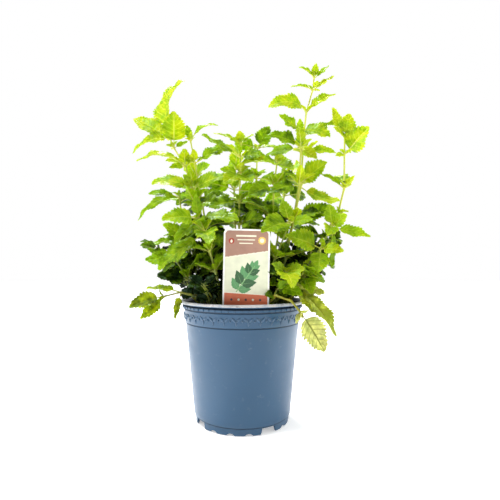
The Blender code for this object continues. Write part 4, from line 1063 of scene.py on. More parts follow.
def leaf_tone(name, leaf, joint, chance):
    """A leaf's tone from where it grows: the top and the outside are young and lit, the inside is shaded."""
    tip = joint + Vector(leaf.reach) * 0.6
    height = clamp((tip.z - TONE_LOW) / TONE_HEIGHT)
    outside = clamp((math.hypot(tip.x, tip.y) - TONE_INSIDE) / TONE_DEPTH)
    front = clamp(-tip.y / TONE_FRONT, -1.0)
    front_share = TONE_OF_FRONT - TONE_OF_FRONT_FALL * height
    young_and_lit = TONE_OF_HEIGHT * height + TONE_OF_DEPTH * outside + front_share * front
    low = LOW_SHADE * clamp((LOW_SHADE_TOP - tip.z) / LOW_SHADE_DEPTH)
    young_and_lit += chance.uniform(-TONE_SPREAD, TONE_SPREAD)
    young_and_lit = clamp(young_and_lit + TONE_ADDED - low + SHADE.get(name, 0.0))
    return (young_and_lit, faded_share(name, joint.z) * chance.uniform(0.8, 1.0), chance.random(), 1.0)


def grow(sheet, name, bud, joint, chance, share=1.0, lighter=0.0):
    """A small leaf where there is room for its tip and its middle, with its tone of youth and painted light
    scaled and raised.
    """
    reach = Vector(bud.reach)
    if has_room(joint + reach) and has_room(joint + reach * 0.5):
        young_and_lit, *rest = leaf_tone(name, bud, joint, chance)
        sheet.leaf(bud, joint, (min(young_and_lit * share + lighter, 1.0), *rest), chance)


def small_leaves(sheet, name, joint, along, count, length, chance):
    """The little leaves in a joint's axils, or round a stem's tip."""
    turn = chance.uniform(0, 2 * math.pi)
    tilt = Vector((0, 0, 1)).rotation_difference(along)
    for k in range(count):
        angle = turn + 2 * math.pi * k / count + chance.uniform(-0.3, 0.3)
        size = length * chance.uniform(0.6, 1.15)
        rise = chance.uniform(0.35, 1.1)
        reach = tilt @ (Vector(round_axis(1.0, angle, rise)).normalized() * size)
        face = tilt @ Vector(round_axis(-0.3, angle, 1.0))
        bud = Leaf(tuple(reach), tuple(face), wave=AXIL_WAVE, **drawn(AXIL_RANGES, chance))
        grow(sheet, name, bud, joint, chance, lighter=AXIL_LIGHTER)


def has_room(point):
    """True if a point is clear of the label, the pot's wall and the lip."""
    x, y, z = label_matrix().inverted() @ point
    across = abs(x) < LABEL_WIDTH / 2 + EDGE_CLEARANCE and z < LABEL_TOP + EDGE_CLEARANCE
    in_wall = LIP_RADIUS - INSIDE_CLEARANCE < point.xy.length < LIP_RADIUS + OUTSIDE_CLEARANCE
    in_label = across and abs(y) < FACE_CLEARANCE
    return not (in_label or (in_wall and point.z < POT_HEIGHT + LIP_CLEARANCE))


def make_foliage(lines, grown, finishes):
    """One piece for each leafy stem, in place of its solid, with the small leaves that the solid lacks."""
    chance = random.Random(SEED + 1)
    for name, (line, radii) in lines.items():
        sheet = Sheet()
        fine = smooth_line(softened(line), 4)
        total = len(fine) - 1
        widths = [radii[0] + (radii[-1] - radii[0]) * index / total for index in range(total + 1)]
        for index, point in enumerate(fine):
            near = min((point - node).length for node in line[1:])
            widths[index] *= STEM_SLIMMEST + NODE_SWELLING * math.exp(-((near / NODE_REACH) ** 2))
        middle = line[len(line) // 2].z
        sheet.tube(fine, widths, stem_tone(name, middle), STEM_SIDES, square=STEM_SQUARE)
        for index, (joint, placed) in enumerate(grown[name], start=1):
            along = (line[index] - line[index - 1]).normalized()
            for leaf in placed:
                sheet.leaf(leaf, joint, leaf_tone(name, leaf, joint, chance), chance)
            if index == len(grown[name]):
                small_leaves(sheet, name, line[index], along, 4, TIP_LEAF, chance)
            elif joint.z > LOWEST_AXIL:
                inside = abs(joint.x) < INNER_REACH and joint.z < INNER_HEIGHT
                count, length = (5, INNER_AXIL_LEAF) if inside else (4, AXIL_LEAF)
                small_leaves(sheet, name, joint, along, count, length, chance)
        sheet.make("fine_" + name, finishes, "leaf_green", [name])


def leafy_shoot(sheet, name, foot, top, height, chance):
    """A short shoot with pairs of small leaves up it and three at its tip."""
    line = smooth_line([foot, foot.lerp(top, 0.5) + Vector((0, 0, height * 0.06)), top], 4)
    sheet.tube(line, list(np.linspace(*SHOOT_RADII, len(line))), SHOOT_TONE, 8, square=STEM_SQUARE)
    for place in np.linspace(0.4, 1.0, max(3, round(height / SHOOT_LEAF_SPACING))):
        joint = foot.lerp(top, place)
        if joint.z < POT_HEIGHT + 1:
            continue
        turn = chance.uniform(0, 2 * math.pi)
        for k in range(3 if place == 1.0 else 2):
            angle = turn + math.pi * k + chance.uniform(-0.4, 0.4)
            size = chance.uniform(*SHOOT_LEAF)
            reach = Vector(round_axis(1.0, angle, chance.uniform(-0.1, 0.8))).normalized() * size
            grow(sheet, name, Leaf(tuple(reach), **drawn(SHOOT_RANGES, chance)), joint, chance, SHOOT_SHADED_SHARE)


def make_undergrowth(finishes):
    """Short young shoots between the stems: low on the soil, crinkled, and dark with painted shade."""
    chance = random.Random(SEED + 2)
    for part, (low_x, high_x, low_y, high_y, count, shortest, tallest) in UNDERGROWTH.items():
        sheet = Sheet()
        for _ in range(count):
            x, y = chance.uniform(low_x, high_x), chance.uniform(low_y, high_y)
            if math.hypot(x, y) > SHOOT_RING:
                continue
            height = chance.uniform(shortest, tallest)
            lean = [at / SHOOT_SPREAD + chance.uniform(-SHOOT_LEAN, SHOOT_LEAN) for at in (x, y)]
            lean = Vector((*lean, 1.0))
            foot = Vector((x, y, SOIL_EDGE_HEIGHT - 2))
            leafy_shoot(sheet, part, foot, foot + lean.normalized() * height, height, chance)
        sheet.make(part, finishes, "leaf_green")


def inner_wall(height):
    """The pot's inner radius at a height above its base."""
    share = (height - FOOT_HEIGHT) / (BAND_LOW - FOOT_HEIGHT)
    return WALL_FOOT_RADIUS + share * (WALL_TOP_RADIUS - WALL_FOOT_RADIUS) - WALL


def foot_edge(angle):
    """The height of the foot ring's lower edge at an angle: 0 on the feet, more over scallops and gaps."""
    gap_angle = 2 * math.pi / FOOT_COUNT
    off = (angle - math.radians(FIRST_GAP_DEGREES) + gap_angle / 2) % gap_angle - gap_angle / 2
    beyond = GAP_WIDTH / 2 - abs(off) * FOOT_RADIUS
    if beyond > -GAP_SLOPE:
        return (FOOT_HEIGHT - GAP_ROOF) * min(1.0, (beyond + GAP_SLOPE) / GAP_SLOPE)
    off = (angle - math.radians(FIRST_GAP_DEGREES)) % gap_angle - gap_angle / 2
    rise = 0.0
    for scallop in range(SCALLOPS_PER_FOOT):
        middle = math.radians((scallop - (SCALLOPS_PER_FOOT - 1) / 2) * SCALLOP_SPREAD_DEGREES)
        along = (off - middle) * FOOT_RADIUS
        if abs(along) < SCALLOP_RADIUS:
            rise = max(rise, math.sqrt(SCALLOP_RADIUS**2 - along**2) + SCALLOP_RISE - SCALLOP_RADIUS)
    return rise


def pot_section():
    """The pot's wall in section as (radius, height), from the lip down the outside, under the base and up
    the inside. Points in pairs keep the steps crisp."""
    section = []
    for step in range(7):
        angle = math.pi * (step / 6)
        radius = LIP_RADIUS - LIP_ROUND + LIP_ROUND * math.sin(angle) ** 0.8
        section.append((radius, POT_HEIGHT - LIP_ROUND + LIP_ROUND * math.cos(angle)))
    section += [
        (COLLAR_RADIUS + 0.5, LIP_LOW),
        (COLLAR_RADIUS - GROOVE_DEPTH, GROOVE_HIGH),
        (COLLAR_RADIUS - GROOVE_DEPTH, GROOVE_LOW),
        (COLLAR_RADIUS - 0.1, GROOVE_LOW - 0.3),
        (COLLAR_RADIUS - 0.3, BAND_HIGH + 0.9),
        (COLLAR_RADIUS - 0.6, BAND_HIGH + 0.45),
        (BAND_HIGH_RADIUS - 0.35, BAND_HIGH + 0.1),
        (BAND_HIGH_RADIUS - 0.35, BAND_HIGH - 0.35),
        (BAND_HIGH_RADIUS, BAND_HIGH - 0.6),
        (BAND_LOW_RADIUS + 0.35, BAND_LOW + 5.0),
        (BAND_LOW_RADIUS, BAND_LOW + 1.0),
        (BAND_LOW_RADIUS - 0.15, BAND_LOW + 0.6),
        (WALL_TOP_RADIUS - 0.2, BAND_LOW + 0.15),
        (WALL_TOP_RADIUS - 0.2, BAND_LOW - 0.35),
        (WALL_TOP_RADIUS, BAND_LOW - 0.7),
    ]
    for share in (0.75, 0.5, 0.25, 0.06):
        height = FOOT_HEIGHT + share * (BAND_LOW - FOOT_HEIGHT)
        section.append((inner_wall(height) + WALL, height))
    base = FOOT_HEIGHT + BASE_THICKNESS
    return section + [
        (WALL_FOOT_RADIUS, FOOT_HEIGHT + 1.1),
        (WALL_FOOT_RADIUS - 0.3, FOOT_HEIGHT + 0.6),
        (FOOT_RADIUS - 0.2, FOOT_HEIGHT + 0.35),
        (FOOT_RADIUS - 0.1, FOOT_HEIGHT - 0.2),
        (FOOT_RADIUS - 0.3, 0.35),
        (FOOT_RADIUS - 0.6, 0.0),
        (FOOT_RADIUS - FOOT_WALL + 0.3, 0.0),
        (FOOT_RADIUS - FOOT_WALL, 0.35),
        (FOOT_RADIUS - FOOT_WALL, FOOT_HEIGHT),
        (HUB_RADIUS, FOOT_HEIGHT),
        (HUB_RADIUS, base),
        (inner_wall(base), base),
        (inner_wall(BAND_LOW), BAND_LOW),
        (BAND_HIGH_RADIUS - WALL, BAND_HIGH),
        (COLLAR_RADIUS - WALL, COLLAR_HIGH),
        (LIP_RADIUS - LIP_WIDTH, POT_HEIGHT - 0.9),
    ]


def make_pot(plastic, lip, shade):
    """The pot in fine steps round, in place of its solid, with the drain holes cut through the base. The
    section's lowest points follow the foot's edge."""
    section = pot_section()
    points = []
    for step in range(POT_STEPS):
        angle = 2 * math.pi * step / POT_STEPS
        low = foot_edge(angle)
        for radius, height in section:
            points.append(round_axis(radius, angle, height + low if height < FOOT_HEIGHT / 2 else height))
    count = len(section)
    hub = section.index((HUB_RADIUS, FOOT_HEIGHT))
    faces = []
    for step in range(POT_STEPS):
        here, there = step * count, (step + 1) % POT_STEPS * count
        for k in range(count):
            if k != hub:
                above = (k + 1) % count
                faces.append((here + k, here + above, there + above, there + k))
    under = [step * count + hub for step in range(POT_STEPS)]
    over = [step * count + hub + 1 for step in range(POT_STEPS)]
    faces += [tuple(reversed(under)), tuple(over)]
    mesh = mesh_of("fine_pot", points, faces)
    made = new_piece(mesh, [plastic, lip, shade], ["pot"])
    for polygon in mesh.polygons:
        height = polygon.center.z / MM
        if height > LIP_LOW + LIP_FACE:
            polygon.material_index = 1
        # The groove under the lip takes the near-black finish: painted shade
        elif GROOVE_LOW - 0.2 < height < LIP_LOW:
            polygon.material_index = 2
    drills = []
    radius, depth = DRAIN_HOLE_RADIUS * MM, 3 * BASE_THICKNESS * MM
    for hole in range(DRAIN_HOLES):
        bpy.ops.mesh.primitive_cylinder_add(vertices=40, radius=radius, depth=depth)
        drill = bpy.context.object
        angle = 2 * math.pi * hole / DRAIN_HOLES
        drill.location = Vector(round_axis(DRAIN_RING_RADIUS, angle, FOOT_HEIGHT + BASE_THICKNESS / 2)) * MM
        drills.append(drill)
    cut_away(made, drills)
    smooth(made.data, 32)


def cut_away(target, tools):
    """Cuts the tools from the target and removes them."""
    for index, tool in enumerate(tools):
        cut = target.modifiers.new(f"cut_{index}", "BOOLEAN")
        cut.operation = "DIFFERENCE"
        cut.object = tool
        cut.solver = "EXACT"
    bpy.context.view_layer.update()
    evaluated = target.evaluated_get(bpy.context.evaluated_depsgraph_get())
    finished = bpy.data.meshes.new_from_object(evaluated)
    target.modifiers.clear()
    target.data = finished
    for tool in tools:
        bpy.data.objects.remove(tool)


def outer_radius(height):
    """The band's outer radius at a height."""
    share = (height - BAND_LOW) / (BAND_HIGH - BAND_LOW)
    return BAND_LOW_RADIUS + share * (BAND_HIGH_RADIUS - BAND_LOW_RADIUS)


def on_wall(angle, x, height, out, radius):
    """A point beside this angle on a wall of that radius: x millimetres round, so high, and so far out."""
    return round_axis(radius + out, angle + x / radius, height)


def raised_leaf(points, faces, angle, foot, tilt, length, width):
    """A small raised leaf shape on the band: its foot (x, height), its lean from upright and its size."""
    first = len(points)
    for step in range(RELIEF_STEPS + 1):
        s = step / RELIEF_STEPS
        inner = clamp(s, 0.03, 0.97)
        half = 0.5 * width * math.sin(math.pi * inner**0.8)
        for side in range(RELIEF_SIDES + 1):
            u = 2 * side / RELIEF_SIDES - 1
            rise = RELIEF_RISE * (1 - u * u) ** 0.8 * math.sin(math.pi * inner) ** 0.5 - RELIEF_SUNK
            x = foot[0] + length * s * math.sin(tilt) + half * u * math.cos(tilt)
            z = foot[1] + length * s * math.cos(tilt) - half * u * math.sin(tilt)
            points.append(on_wall(angle, x, z, rise, outer_radius(z)))
    row = RELIEF_SIDES + 1
    for step in range(RELIEF_STEPS):
        for side in range(RELIEF_SIDES):
            a = first + step * row + side
            faces.append((a, a + 1, a + row + 1, a + row))


def make_relief(plastic):
    """A repeat of raised seedlings round the band: a stalk, two leaves and a bud between neighbours."""
    points, faces = [], []
    low = (BAND_LOW + BAND_HIGH) / 2 - SEEDLING_HEIGHT / 2
    for seedling in range(SEEDLINGS):
        angle = 2 * math.pi * seedling / SEEDLINGS
        stalk, leaf = SEEDLING_HEIGHT * 0.55, SEEDLING_HEIGHT * 0.68
        raised_leaf(points, faces, angle, (0.0, low), 0.0, stalk, SEEDLING_STALK_WIDTH)
        for side in (-1, 1):
            foot = (SEEDLING_LEAF_FOOT * side, low + SEEDLING_HEIGHT * 0.4)
            raised_leaf(points, faces, angle, foot, side * SEEDLING_LEAN, leaf, SEEDLING_LEAF_WIDTH)
        between = angle + math.pi / SEEDLINGS
        raised_leaf(points, faces, between, (0.0, low + BUD_RISE), 0.0, BUD_LENGTH, BUD_WIDTH)
    mesh = mesh_of("pot_relief", points, faces)
    new_piece(mesh, [plastic])
    smooth(mesh)


def make_ribs(plastic):
    """Short upright ribs in the collar under the lip."""
    points, faces = [], []
    low, high = BAND_HIGH + 1.0, GROOVE_LOW - 0.3
    for rib in range(RIBS):
        angle = 2 * math.pi * rib / RIBS
        a = len(points)
        for height, radius in ((low, COLLAR_RADIUS - 0.3), (high, COLLAR_RADIUS)):
            for x, out in RIB_SECTION:
                points.append(on_wall(angle, x * RIB_WIDTH, height, out * RIB_RISE, radius))
        faces += [(b, b + 1, b + 5, b + 4) for b in (a, a + 1, a + 2)]
        faces += [(a + 3, a, a + 4, a + 7), (a + 3, a + 2, a + 1, a), (a + 4, a + 5, a + 6, a + 7)]
    new_piece(mesh_of("pot_ribs", points, faces), [plastic])


def soil_lump(x, y):
    """How far the soil's top is raised at a point, in millimetres, as in the solid."""
    ripple = math.sin(0.31 * x + 0.4) * math.cos(0.27 * y - 0.8) + 0.6 * math.sin(0.52 * y + 0.23 * x)
    return SOIL_LUMP * 0.6 * ripple + SOIL_CROWN * (1 - (x * x + y * y) / SOIL_RADIUS**2)


def soil_top(x, y):
    """The height of the soil's crumbly surface at a point."""
    place = Vector((x, y, 0.0))
    crumble = SOIL_CRUMBLE * noise.turbulence(place / SOIL_CRUMBLE_LENGTH, 4, False)
    crumble += SOIL_GRAIN * noise.noise(place / SOIL_GRAIN_LENGTH)
    edge = clamp((SOIL_CRUMBLY_RADIUS - place.length) / 8)
    return SOIL_EDGE_HEIGHT + soil_lump(x, y) * edge + crumble * (0.3 + 0.7 * edge) - 0.5


def make_soil(finish):
    """The soil as one closed body with a crumbly top, in place of its solid."""
    top_radius = BAND_HIGH_RADIUS - WALL - SOIL_SLACK
    base = FOOT_HEIGHT + BASE_THICKNESS + GAP
    angles = [2 * math.pi * step / SOIL_STEPS for step in range(SOIL_STEPS)]
    points = [(0.0, 0.0, soil_top(0.0, 0.0))]
    for ring in range(1, SOIL_RINGS + 1):
        for angle in angles:
            x, y, _ = round_axis(top_radius * ring / SOIL_RINGS, angle)
            points.append((x, y, soil_top(x, y)))
    for height in (BAND_LOW, base):
        points += [round_axis(inner_wall(height) - SOIL_SLACK, angle, height) for angle in angles]
    faces = [(0, 1 + step, 1 + (step + 1) % SOIL_STEPS) for step in range(SOIL_STEPS)]
    for ring in range(SOIL_RINGS + 1):
        first = 1 + ring * SOIL_STEPS
        under = first + SOIL_STEPS
        for step in range(SOIL_STEPS):
            after = (step + 1) % SOIL_STEPS
            faces.append((first + step, under + step, under + after, first + after))
    last = 1 + (SOIL_RINGS + 1) * SOIL_STEPS
    faces.append(tuple(reversed(range(last, last + SOIL_STEPS))))
    mesh = mesh_of("fine_soil", points, faces)
    new_piece(mesh, [finish], ["soil"])
    smooth(mesh, 60)


def strewn(reach, chance):
    """A place on the soil within reach of the pot's axis."""
    return round_axis(reach * math.sqrt(chance.random()), chance.uniform(0, 2 * math.pi))


def make_crumbs(finish, chance):
    """Loose crumbs of peat and bark on the soil."""
    shape = bmesh.new()
    for _ in range(CRUMBS):
        x, y, _ = strewn(CRUMB_REACH, chance)
        size = CRUMB_SMALLEST + CRUMB_GROWTH * chance.random() ** 2.2
        made = bmesh.ops.create_icosphere(shape, subdivisions=1 if size < 1.1 else 2, radius=size * MM)
        seed = Vector((chance.uniform(0, 99), chance.uniform(0, 99), chance.uniform(0, 99)))
        stretch = Vector((1.0, chance.uniform(0.6, 1.0), chance.uniform(0.45, 0.9)))
        turn = Quaternion((0, 0, 1), chance.uniform(0, 6.3))
        for vertex in made["verts"]:
            rough = 1 + CRUMB_ROUGHNESS * noise.noise(vertex.co / (0.8 * size * MM) + seed)
            vertex.co = turn @ (vertex.co * rough * stretch)
            vertex.co += Vector((x, y, soil_top(x, y) + size * 0.25)) * MM
    mesh = bpy.data.meshes.new("soil_crumbs")
    shape.to_mesh(mesh)
    shape.free()
    new_piece(mesh, [finish])
    smooth(mesh)


def make_fibres(finish, chance):
    """Thin pale fibres and dead roots that wander over the soil."""
    sheet = Sheet()
    for _ in range(FIBRES):
        place = Vector(strewn(FIBRE_REACH, chance))
        way = chance.uniform(0, 2 * math.pi)
        line = []
        for step in range(FIBRE_POINTS):
            height = soil_top(place.x, place.y) + 0.5 + 0.7 * math.sin(step * 0.8)
            line.append(Vector((place.x, place.y, height)))
            way += chance.uniform(-0.6, 0.6)
            place += Vector((math.cos(way), math.sin(way), 0)) * FIBRE_STEP
        if all(point.xy.length < FIBRE_LIMIT for point in line):
            radii = list(np.linspace(*FIBRE_RADII, FIBRE_POINTS))
            sheet.tube(line, radii, (0.0, 0.0, 0.0, 1.0), 5, finish=0)
    sheet.make("soil_fibres", [finish], "soil")


def field_outline(low, high, inset=LABEL_MARGIN):
    """A strip of the label's printed field between two heights, each a function of x. Its top corners are
    round where it ends the field."""
    half = LABEL_WIDTH / 2 - inset
    steps = 24
    xs = [half - 2 * half * step / steps for step in range(steps + 1)]
    top = LABEL_TOP - inset
    corner = LABEL_CORNER - inset

    def ceiling(x):
        over = abs(x) - (half - corner)
        return top - corner + math.sqrt(max(corner**2 - max(over, 0.0) ** 2, 0.0))

    upper = [(x, min(high(x), ceiling(x))) for x in xs]
    lower = [(x, low(x)) for x in reversed(xs)]
    return upper + lower


def sprig_leaf(foot, angle, length, width):
    """The outline of a printed leaf with a toothed edge."""
    teeth, outline = 5, []
    for side in (1, -1):
        row = []
        for step in range(2 * teeth + 1):
            s = step / (2 * teeth)
            half = 0.5 * width * math.sin(math.pi * s**0.75) * (1.0 if step % 2 == 0 else 1.14)
            x, z = side * half, length * s
            x, z = x * math.cos(angle) + z * math.sin(angle), z * math.cos(angle) - x * math.sin(angle)
            row.append((foot[0] + x, foot[1] + z))
        outline += row if side == 1 else row[-2:0:-1]
    return outline


def disc_outline(centre, radius, waves=0, depth=0.0):
    """A disc, or a rosette with so many waves round its edge."""
    outline = []
    for step in range(48):
        angle = 2 * math.pi * step / 48
        x, z, _ = round_axis(radius * (1 + depth * math.cos(waves * angle)), angle)
        outline.append((centre[0] + x, centre[1] + z))
    return outline


def bar_outline(left, right, low, high):
    """A level bar."""
    return [(left, low), (right, low), (right, high), (left, high)]


class Print:
    """Thin printed shapes in layers on the label's front: one mesh with a finish for each ink."""

    def __init__(self, inks):
        self.inks = inks
        self.points = []
        self.faces = []
        self.finish = []

    def add(self, outline, layer, ink):
        """A thin closed plate with this outline, its front higher with each layer."""
        first, size = len(self.points), len(outline)
        front = -LABEL_THICKNESS / 2 - PRINT_STEP * layer
        for depth in (front, -LABEL_THICKNESS / 2 + PRINT_STEP):
            self.points += [label_matrix() @ Vector((x, depth, z)) for x, z in outline]
        turned = sum(a[0] * b[1] - b[0] * a[1] for a, b in zip(outline, outline[1:] + outline[:1])) < 0
        ring = list(range(first, first + size))
        if turned:
            ring.reverse()
        back = [corner + size for corner in reversed(ring)]
        self.faces += [tuple(ring), tuple(back)]
        for a, b in zip(ring, ring[1:] + ring[:1]):
            self.faces.append((b, a, a + size, b + size))
        self.finish += [list(self.inks).index(ink)] * (size + 2)

    def make(self, name):
        """The print as a piece."""
        mesh = mesh_of(name, self.points, self.faces)
        new_piece(mesh, self.inks.values())
        mesh.polygons.foreach_set("material_index", self.finish)


def make_card(card):
    """The card and its stake with softened edges, in place of the solid."""
    half, stake = LABEL_WIDTH / 2, LABEL_STAKE_WIDTH / 2
    left = [(-half, LABEL_CARD_LOW + LABEL_SHOULDER), (-half + LABEL_SHOULDER, LABEL_CARD_LOW)]
    left += [(-stake, LABEL_CARD_LOW), (-stake, LABEL_POINT + LABEL_TAPER)]
    right = [(-x, z) for x, z in reversed(left)]
    corner = []
    for step in range(LABEL_CORNER_STEPS + 1):
        angle = math.pi / 2 * step / LABEL_CORNER_STEPS
        x = half - LABEL_CORNER + LABEL_CORNER * math.cos(angle)
        corner.append((x, LABEL_TOP - LABEL_CORNER + LABEL_CORNER * math.sin(angle)))
    outline = [*left, (0.0, LABEL_POINT), *right, *corner, *((-x, z) for x, z in reversed(corner))]
    size = len(outline)
    points = [Vector((x, y, z)) for y in (-LABEL_THICKNESS / 2, LABEL_THICKNESS / 2) for x, z in outline]
    faces = [tuple(range(size)), tuple(reversed(range(size, 2 * size)))]
    faces += [((k + 1) % size, k, k + size, (k + 1) % size + size) for k in range(size)]
    mesh = mesh_of("fine_label", [label_matrix() @ point for point in points], faces)
    shape = bmesh.new()
    shape.from_mesh(mesh)
    rims = [edge for edge in shape.edges if any(len(face.verts) == size for face in edge.link_faces)]
    bmesh.ops.bevel(shape, geom=rims, offset=LABEL_EDGE * MM, segments=2, affect="EDGES")
    shape.to_mesh(mesh)
    shape.free()
    new_piece(mesh, [card], ["label"])


def header_low(x):
    """The lower edge of the print's header: slanted and a little scalloped."""
    return PRINT_HEADER_LOW + PRINT_HEADER_SLOPE * x + 0.5 * abs(math.sin(x * 0.8))


def strip_high(x):
    """The upper edge of the strip along the print's foot."""
    return PRINT_STRIP_HIGH - PRINT_STRIP_SLOPE * x


def print_fields(art):
    """The pale ground, the header, the middle field and the strip along the foot."""
    art.add(field_outline(lambda x: PRINT_LOW, lambda x: LABEL_TOP), 1, "cream")
    art.add(field_outline(header_low, lambda x: LABEL_TOP), 2, "brown")
    art.add(field_outline(lambda x: strip_high(x) + 0.8, lambda x: header_low(x) - 1.0), 2, "straw")
    art.add(field_outline(lambda x: PRINT_LOW, strip_high), 2, "terracotta")


def print_sprig(art):
    """A slanted stalk with pairs of toothed leaves, each with a thin pale vein, and one leaf at the tip."""
    low = strip_high(-8)
    stalk = [(-9.0, strip_high(-9) + STALK_RISE), (-8.0, low + STALK_RISE), (7.6, 144.6), (7.1, 145.2)]
    art.add(stalk, 6, "pale")
    for k, (share, length) in enumerate(SPRIG_PAIRS):
        foot = (-8.5 + 15.8 * share, low + STALK_RISE + (144.9 - low - STALK_RISE) * share)
        for side in (-1, 1):
            angle = math.radians(30 + side * (58 - 6 * k))
            ink = "light" if (k + side) % 2 else "green"
            art.add(sprig_leaf(foot, angle, length, length * SPRIG_LEAF_WIDTH), 3 + k % 2, ink)
            tip = (foot[0] + 0.8 * length * math.sin(angle), foot[1] + 0.8 * length * math.cos(angle))
            way = Vector((math.cos(angle), -math.sin(angle))) * SPRIG_VEIN
            vein = [(foot[0] - way.x, foot[1] - way.y), (foot[0] + way.x, foot[1] + way.y), tip]
            art.add(vein, 5, "pale")
    art.add(sprig_leaf((7.3, 144.6), math.radians(26), 6.2, 3.6), 5, "light")


def make_print(inks):
    """A plain design in garden colours: a slanted header with two badges and some bars, a leafy sprig on a
    pale field and a strip with dots along the foot."""
    art = Print(inks)
    print_fields(art)
    print_sprig(art)
    art.add(disc_outline(YELLOW_BADGE, 3.3, 12, 0.09), 3, "yellow")
    art.add(disc_outline(YELLOW_BADGE, 1.9), 4, "cream")
    art.add(disc_outline(RED_BADGE, 2.5), 3, "red")
    art.add(sprig_leaf((RED_BADGE[0], 164.6), 0.0, 3.4, 1.9), 4, "cream")
    for row, (left, right, thick) in enumerate(HEADER_BARS):
        low = HEADER_BAR_LOW - HEADER_BAR_STEP * row
        art.add(bar_outline(left, right, low, low + thick), 3, "cream")
    for k in range(DOTS):
        art.add(disc_outline((-12.4 + DOT_STEP * k, DOT_HEIGHT), 1.0), 3, "cream" if k % 2 else "dark")
    art.make("label_print")


class Nodes:
    """A material's node tree, with short calls to add and join nodes."""

    def __init__(self, name):
        self.material = bpy.data.materials.new(name)
        self.material.use_nodes = True
        self.tree = self.material.node_tree
        self.shader = self.tree.nodes["Principled BSDF"]
        self.output = self.tree.nodes["Material Output"]

    def set(self, **values):
        """Numbers and colours of the shader's own sockets."""
        for key, value in values.items():
            self.shader.inputs[key.replace("_", " ")].default_value = value
        return self

    def join(self, source, target):
        """A link from another node's socket, or a plain value."""
        if isinstance(source, bpy.types.NodeSocket):
            self.tree.links.new(source, target)
        else:
            target.default_value = source

    def add(self, kind, **settings):
        """A new node of this kind."""
        node = self.tree.nodes.new(kind)
        for key, value in settings.items():
            setattr(node, key, value)
        return node

    def math(self, operation, a, b=0.0, clamp=False):
        """A sum, product or other step with two numbers."""
        node = self.add("ShaderNodeMath", operation=operation, use_clamp=clamp)
        self.join(a, node.inputs[0])
        self.join(b, node.inputs[1])
        return node.outputs[0]

    def plus(self, a, b):
        return self.math("ADD", a, b)

    def times(self, a, b):
        return self.math("MULTIPLY", a, b)

    def mix(self, share, a, b, blend="MIX"):
        """Colour a with a share of colour b."""
        node = self.add("ShaderNodeMix", data_type="RGBA", blend_type=blend)
        self.join(share, node.inputs["Factor"])
        self.join(a, node.inputs[6])
        self.join(b, node.inputs[7])
        return node.outputs[2]

    def ramp(self, value, stops):
        """The colour at this value between the stops."""
        node = self.add("ShaderNodeValToRGB")
        while len(node.color_ramp.elements) < len(stops):
            node.color_ramp.elements.new(0.5)
        for element, (place, colour) in zip(node.color_ramp.elements, stops):
            element.position = place
            element.color = (*colour, 1.0)
        self.join(value, node.inputs[0])
        return node.outputs[0]

    def spread(self, value, low, high, start=0.0, end=1.0):
        """The value from low to high laid over start to end, held at both ends."""
        node = self.add("ShaderNodeMapRange")
        for socket, number in zip(node.inputs, (value, low, high, start, end)):
            self.join(number, socket)
        return node.outputs[0]

    def place(self):
        """The object's own coordinates in metres."""
        return self.add("ShaderNodeTexCoord").outputs["Object"]

    def noise(self, scale, detail=3.0, rough=0.55, stretch=(1.0, 1.0, 1.0)):
        """Noise over the object's own coordinates, in features per metre."""
        sized = self.add("ShaderNodeVectorMath", operation="MULTIPLY")
        self.join(self.place(), sized.inputs[0])
        sized.inputs[1].default_value = stretch
        node = self.add("ShaderNodeTexNoise")
        self.join(sized.outputs[0], node.inputs["Vector"])
        node.inputs["Scale"].default_value = scale
        node.inputs["Detail"].default_value = detail
        node.inputs["Roughness"].default_value = rough
        return node.outputs["Fac"]

    def height(self):
        """The object's own Z in metres."""
        parts = self.add("ShaderNodeSeparateXYZ")
        self.join(self.place(), parts.inputs[0])
        return parts.outputs[2]

    def tone(self):
        """The tone that each point of a Sheet carries: young and lit, faded, the leaf's own number and
        broad.
        """
        tone = self.add("ShaderNodeAttribute", attribute_name="tone")
        parts = self.add("ShaderNodeSeparateColor")
        self.join(tone.outputs["Color"], parts.inputs[0])
        return (*parts.outputs, tone.outputs["Alpha"])

    def bump(self, value, distance, strength=1.0, under=None):
        """Relief from a value, over the relief under it."""
        node = self.add("ShaderNodeBump")
        node.inputs["Distance"].default_value = distance
        self.join(strength, node.inputs["Strength"])
        self.join(value, node.inputs["Height"])
        if under:
            self.join(under, node.inputs["Normal"])
        return node.outputs[0]

    def surface(self, colour, relief, **values):
        """The shader with this colour, this relief and these values of its own, as a finished material."""
        self.join(colour, self.shader.inputs["Base Color"])
        self.join(relief, self.shader.inputs["Normal"])
        return self.set(**values).material


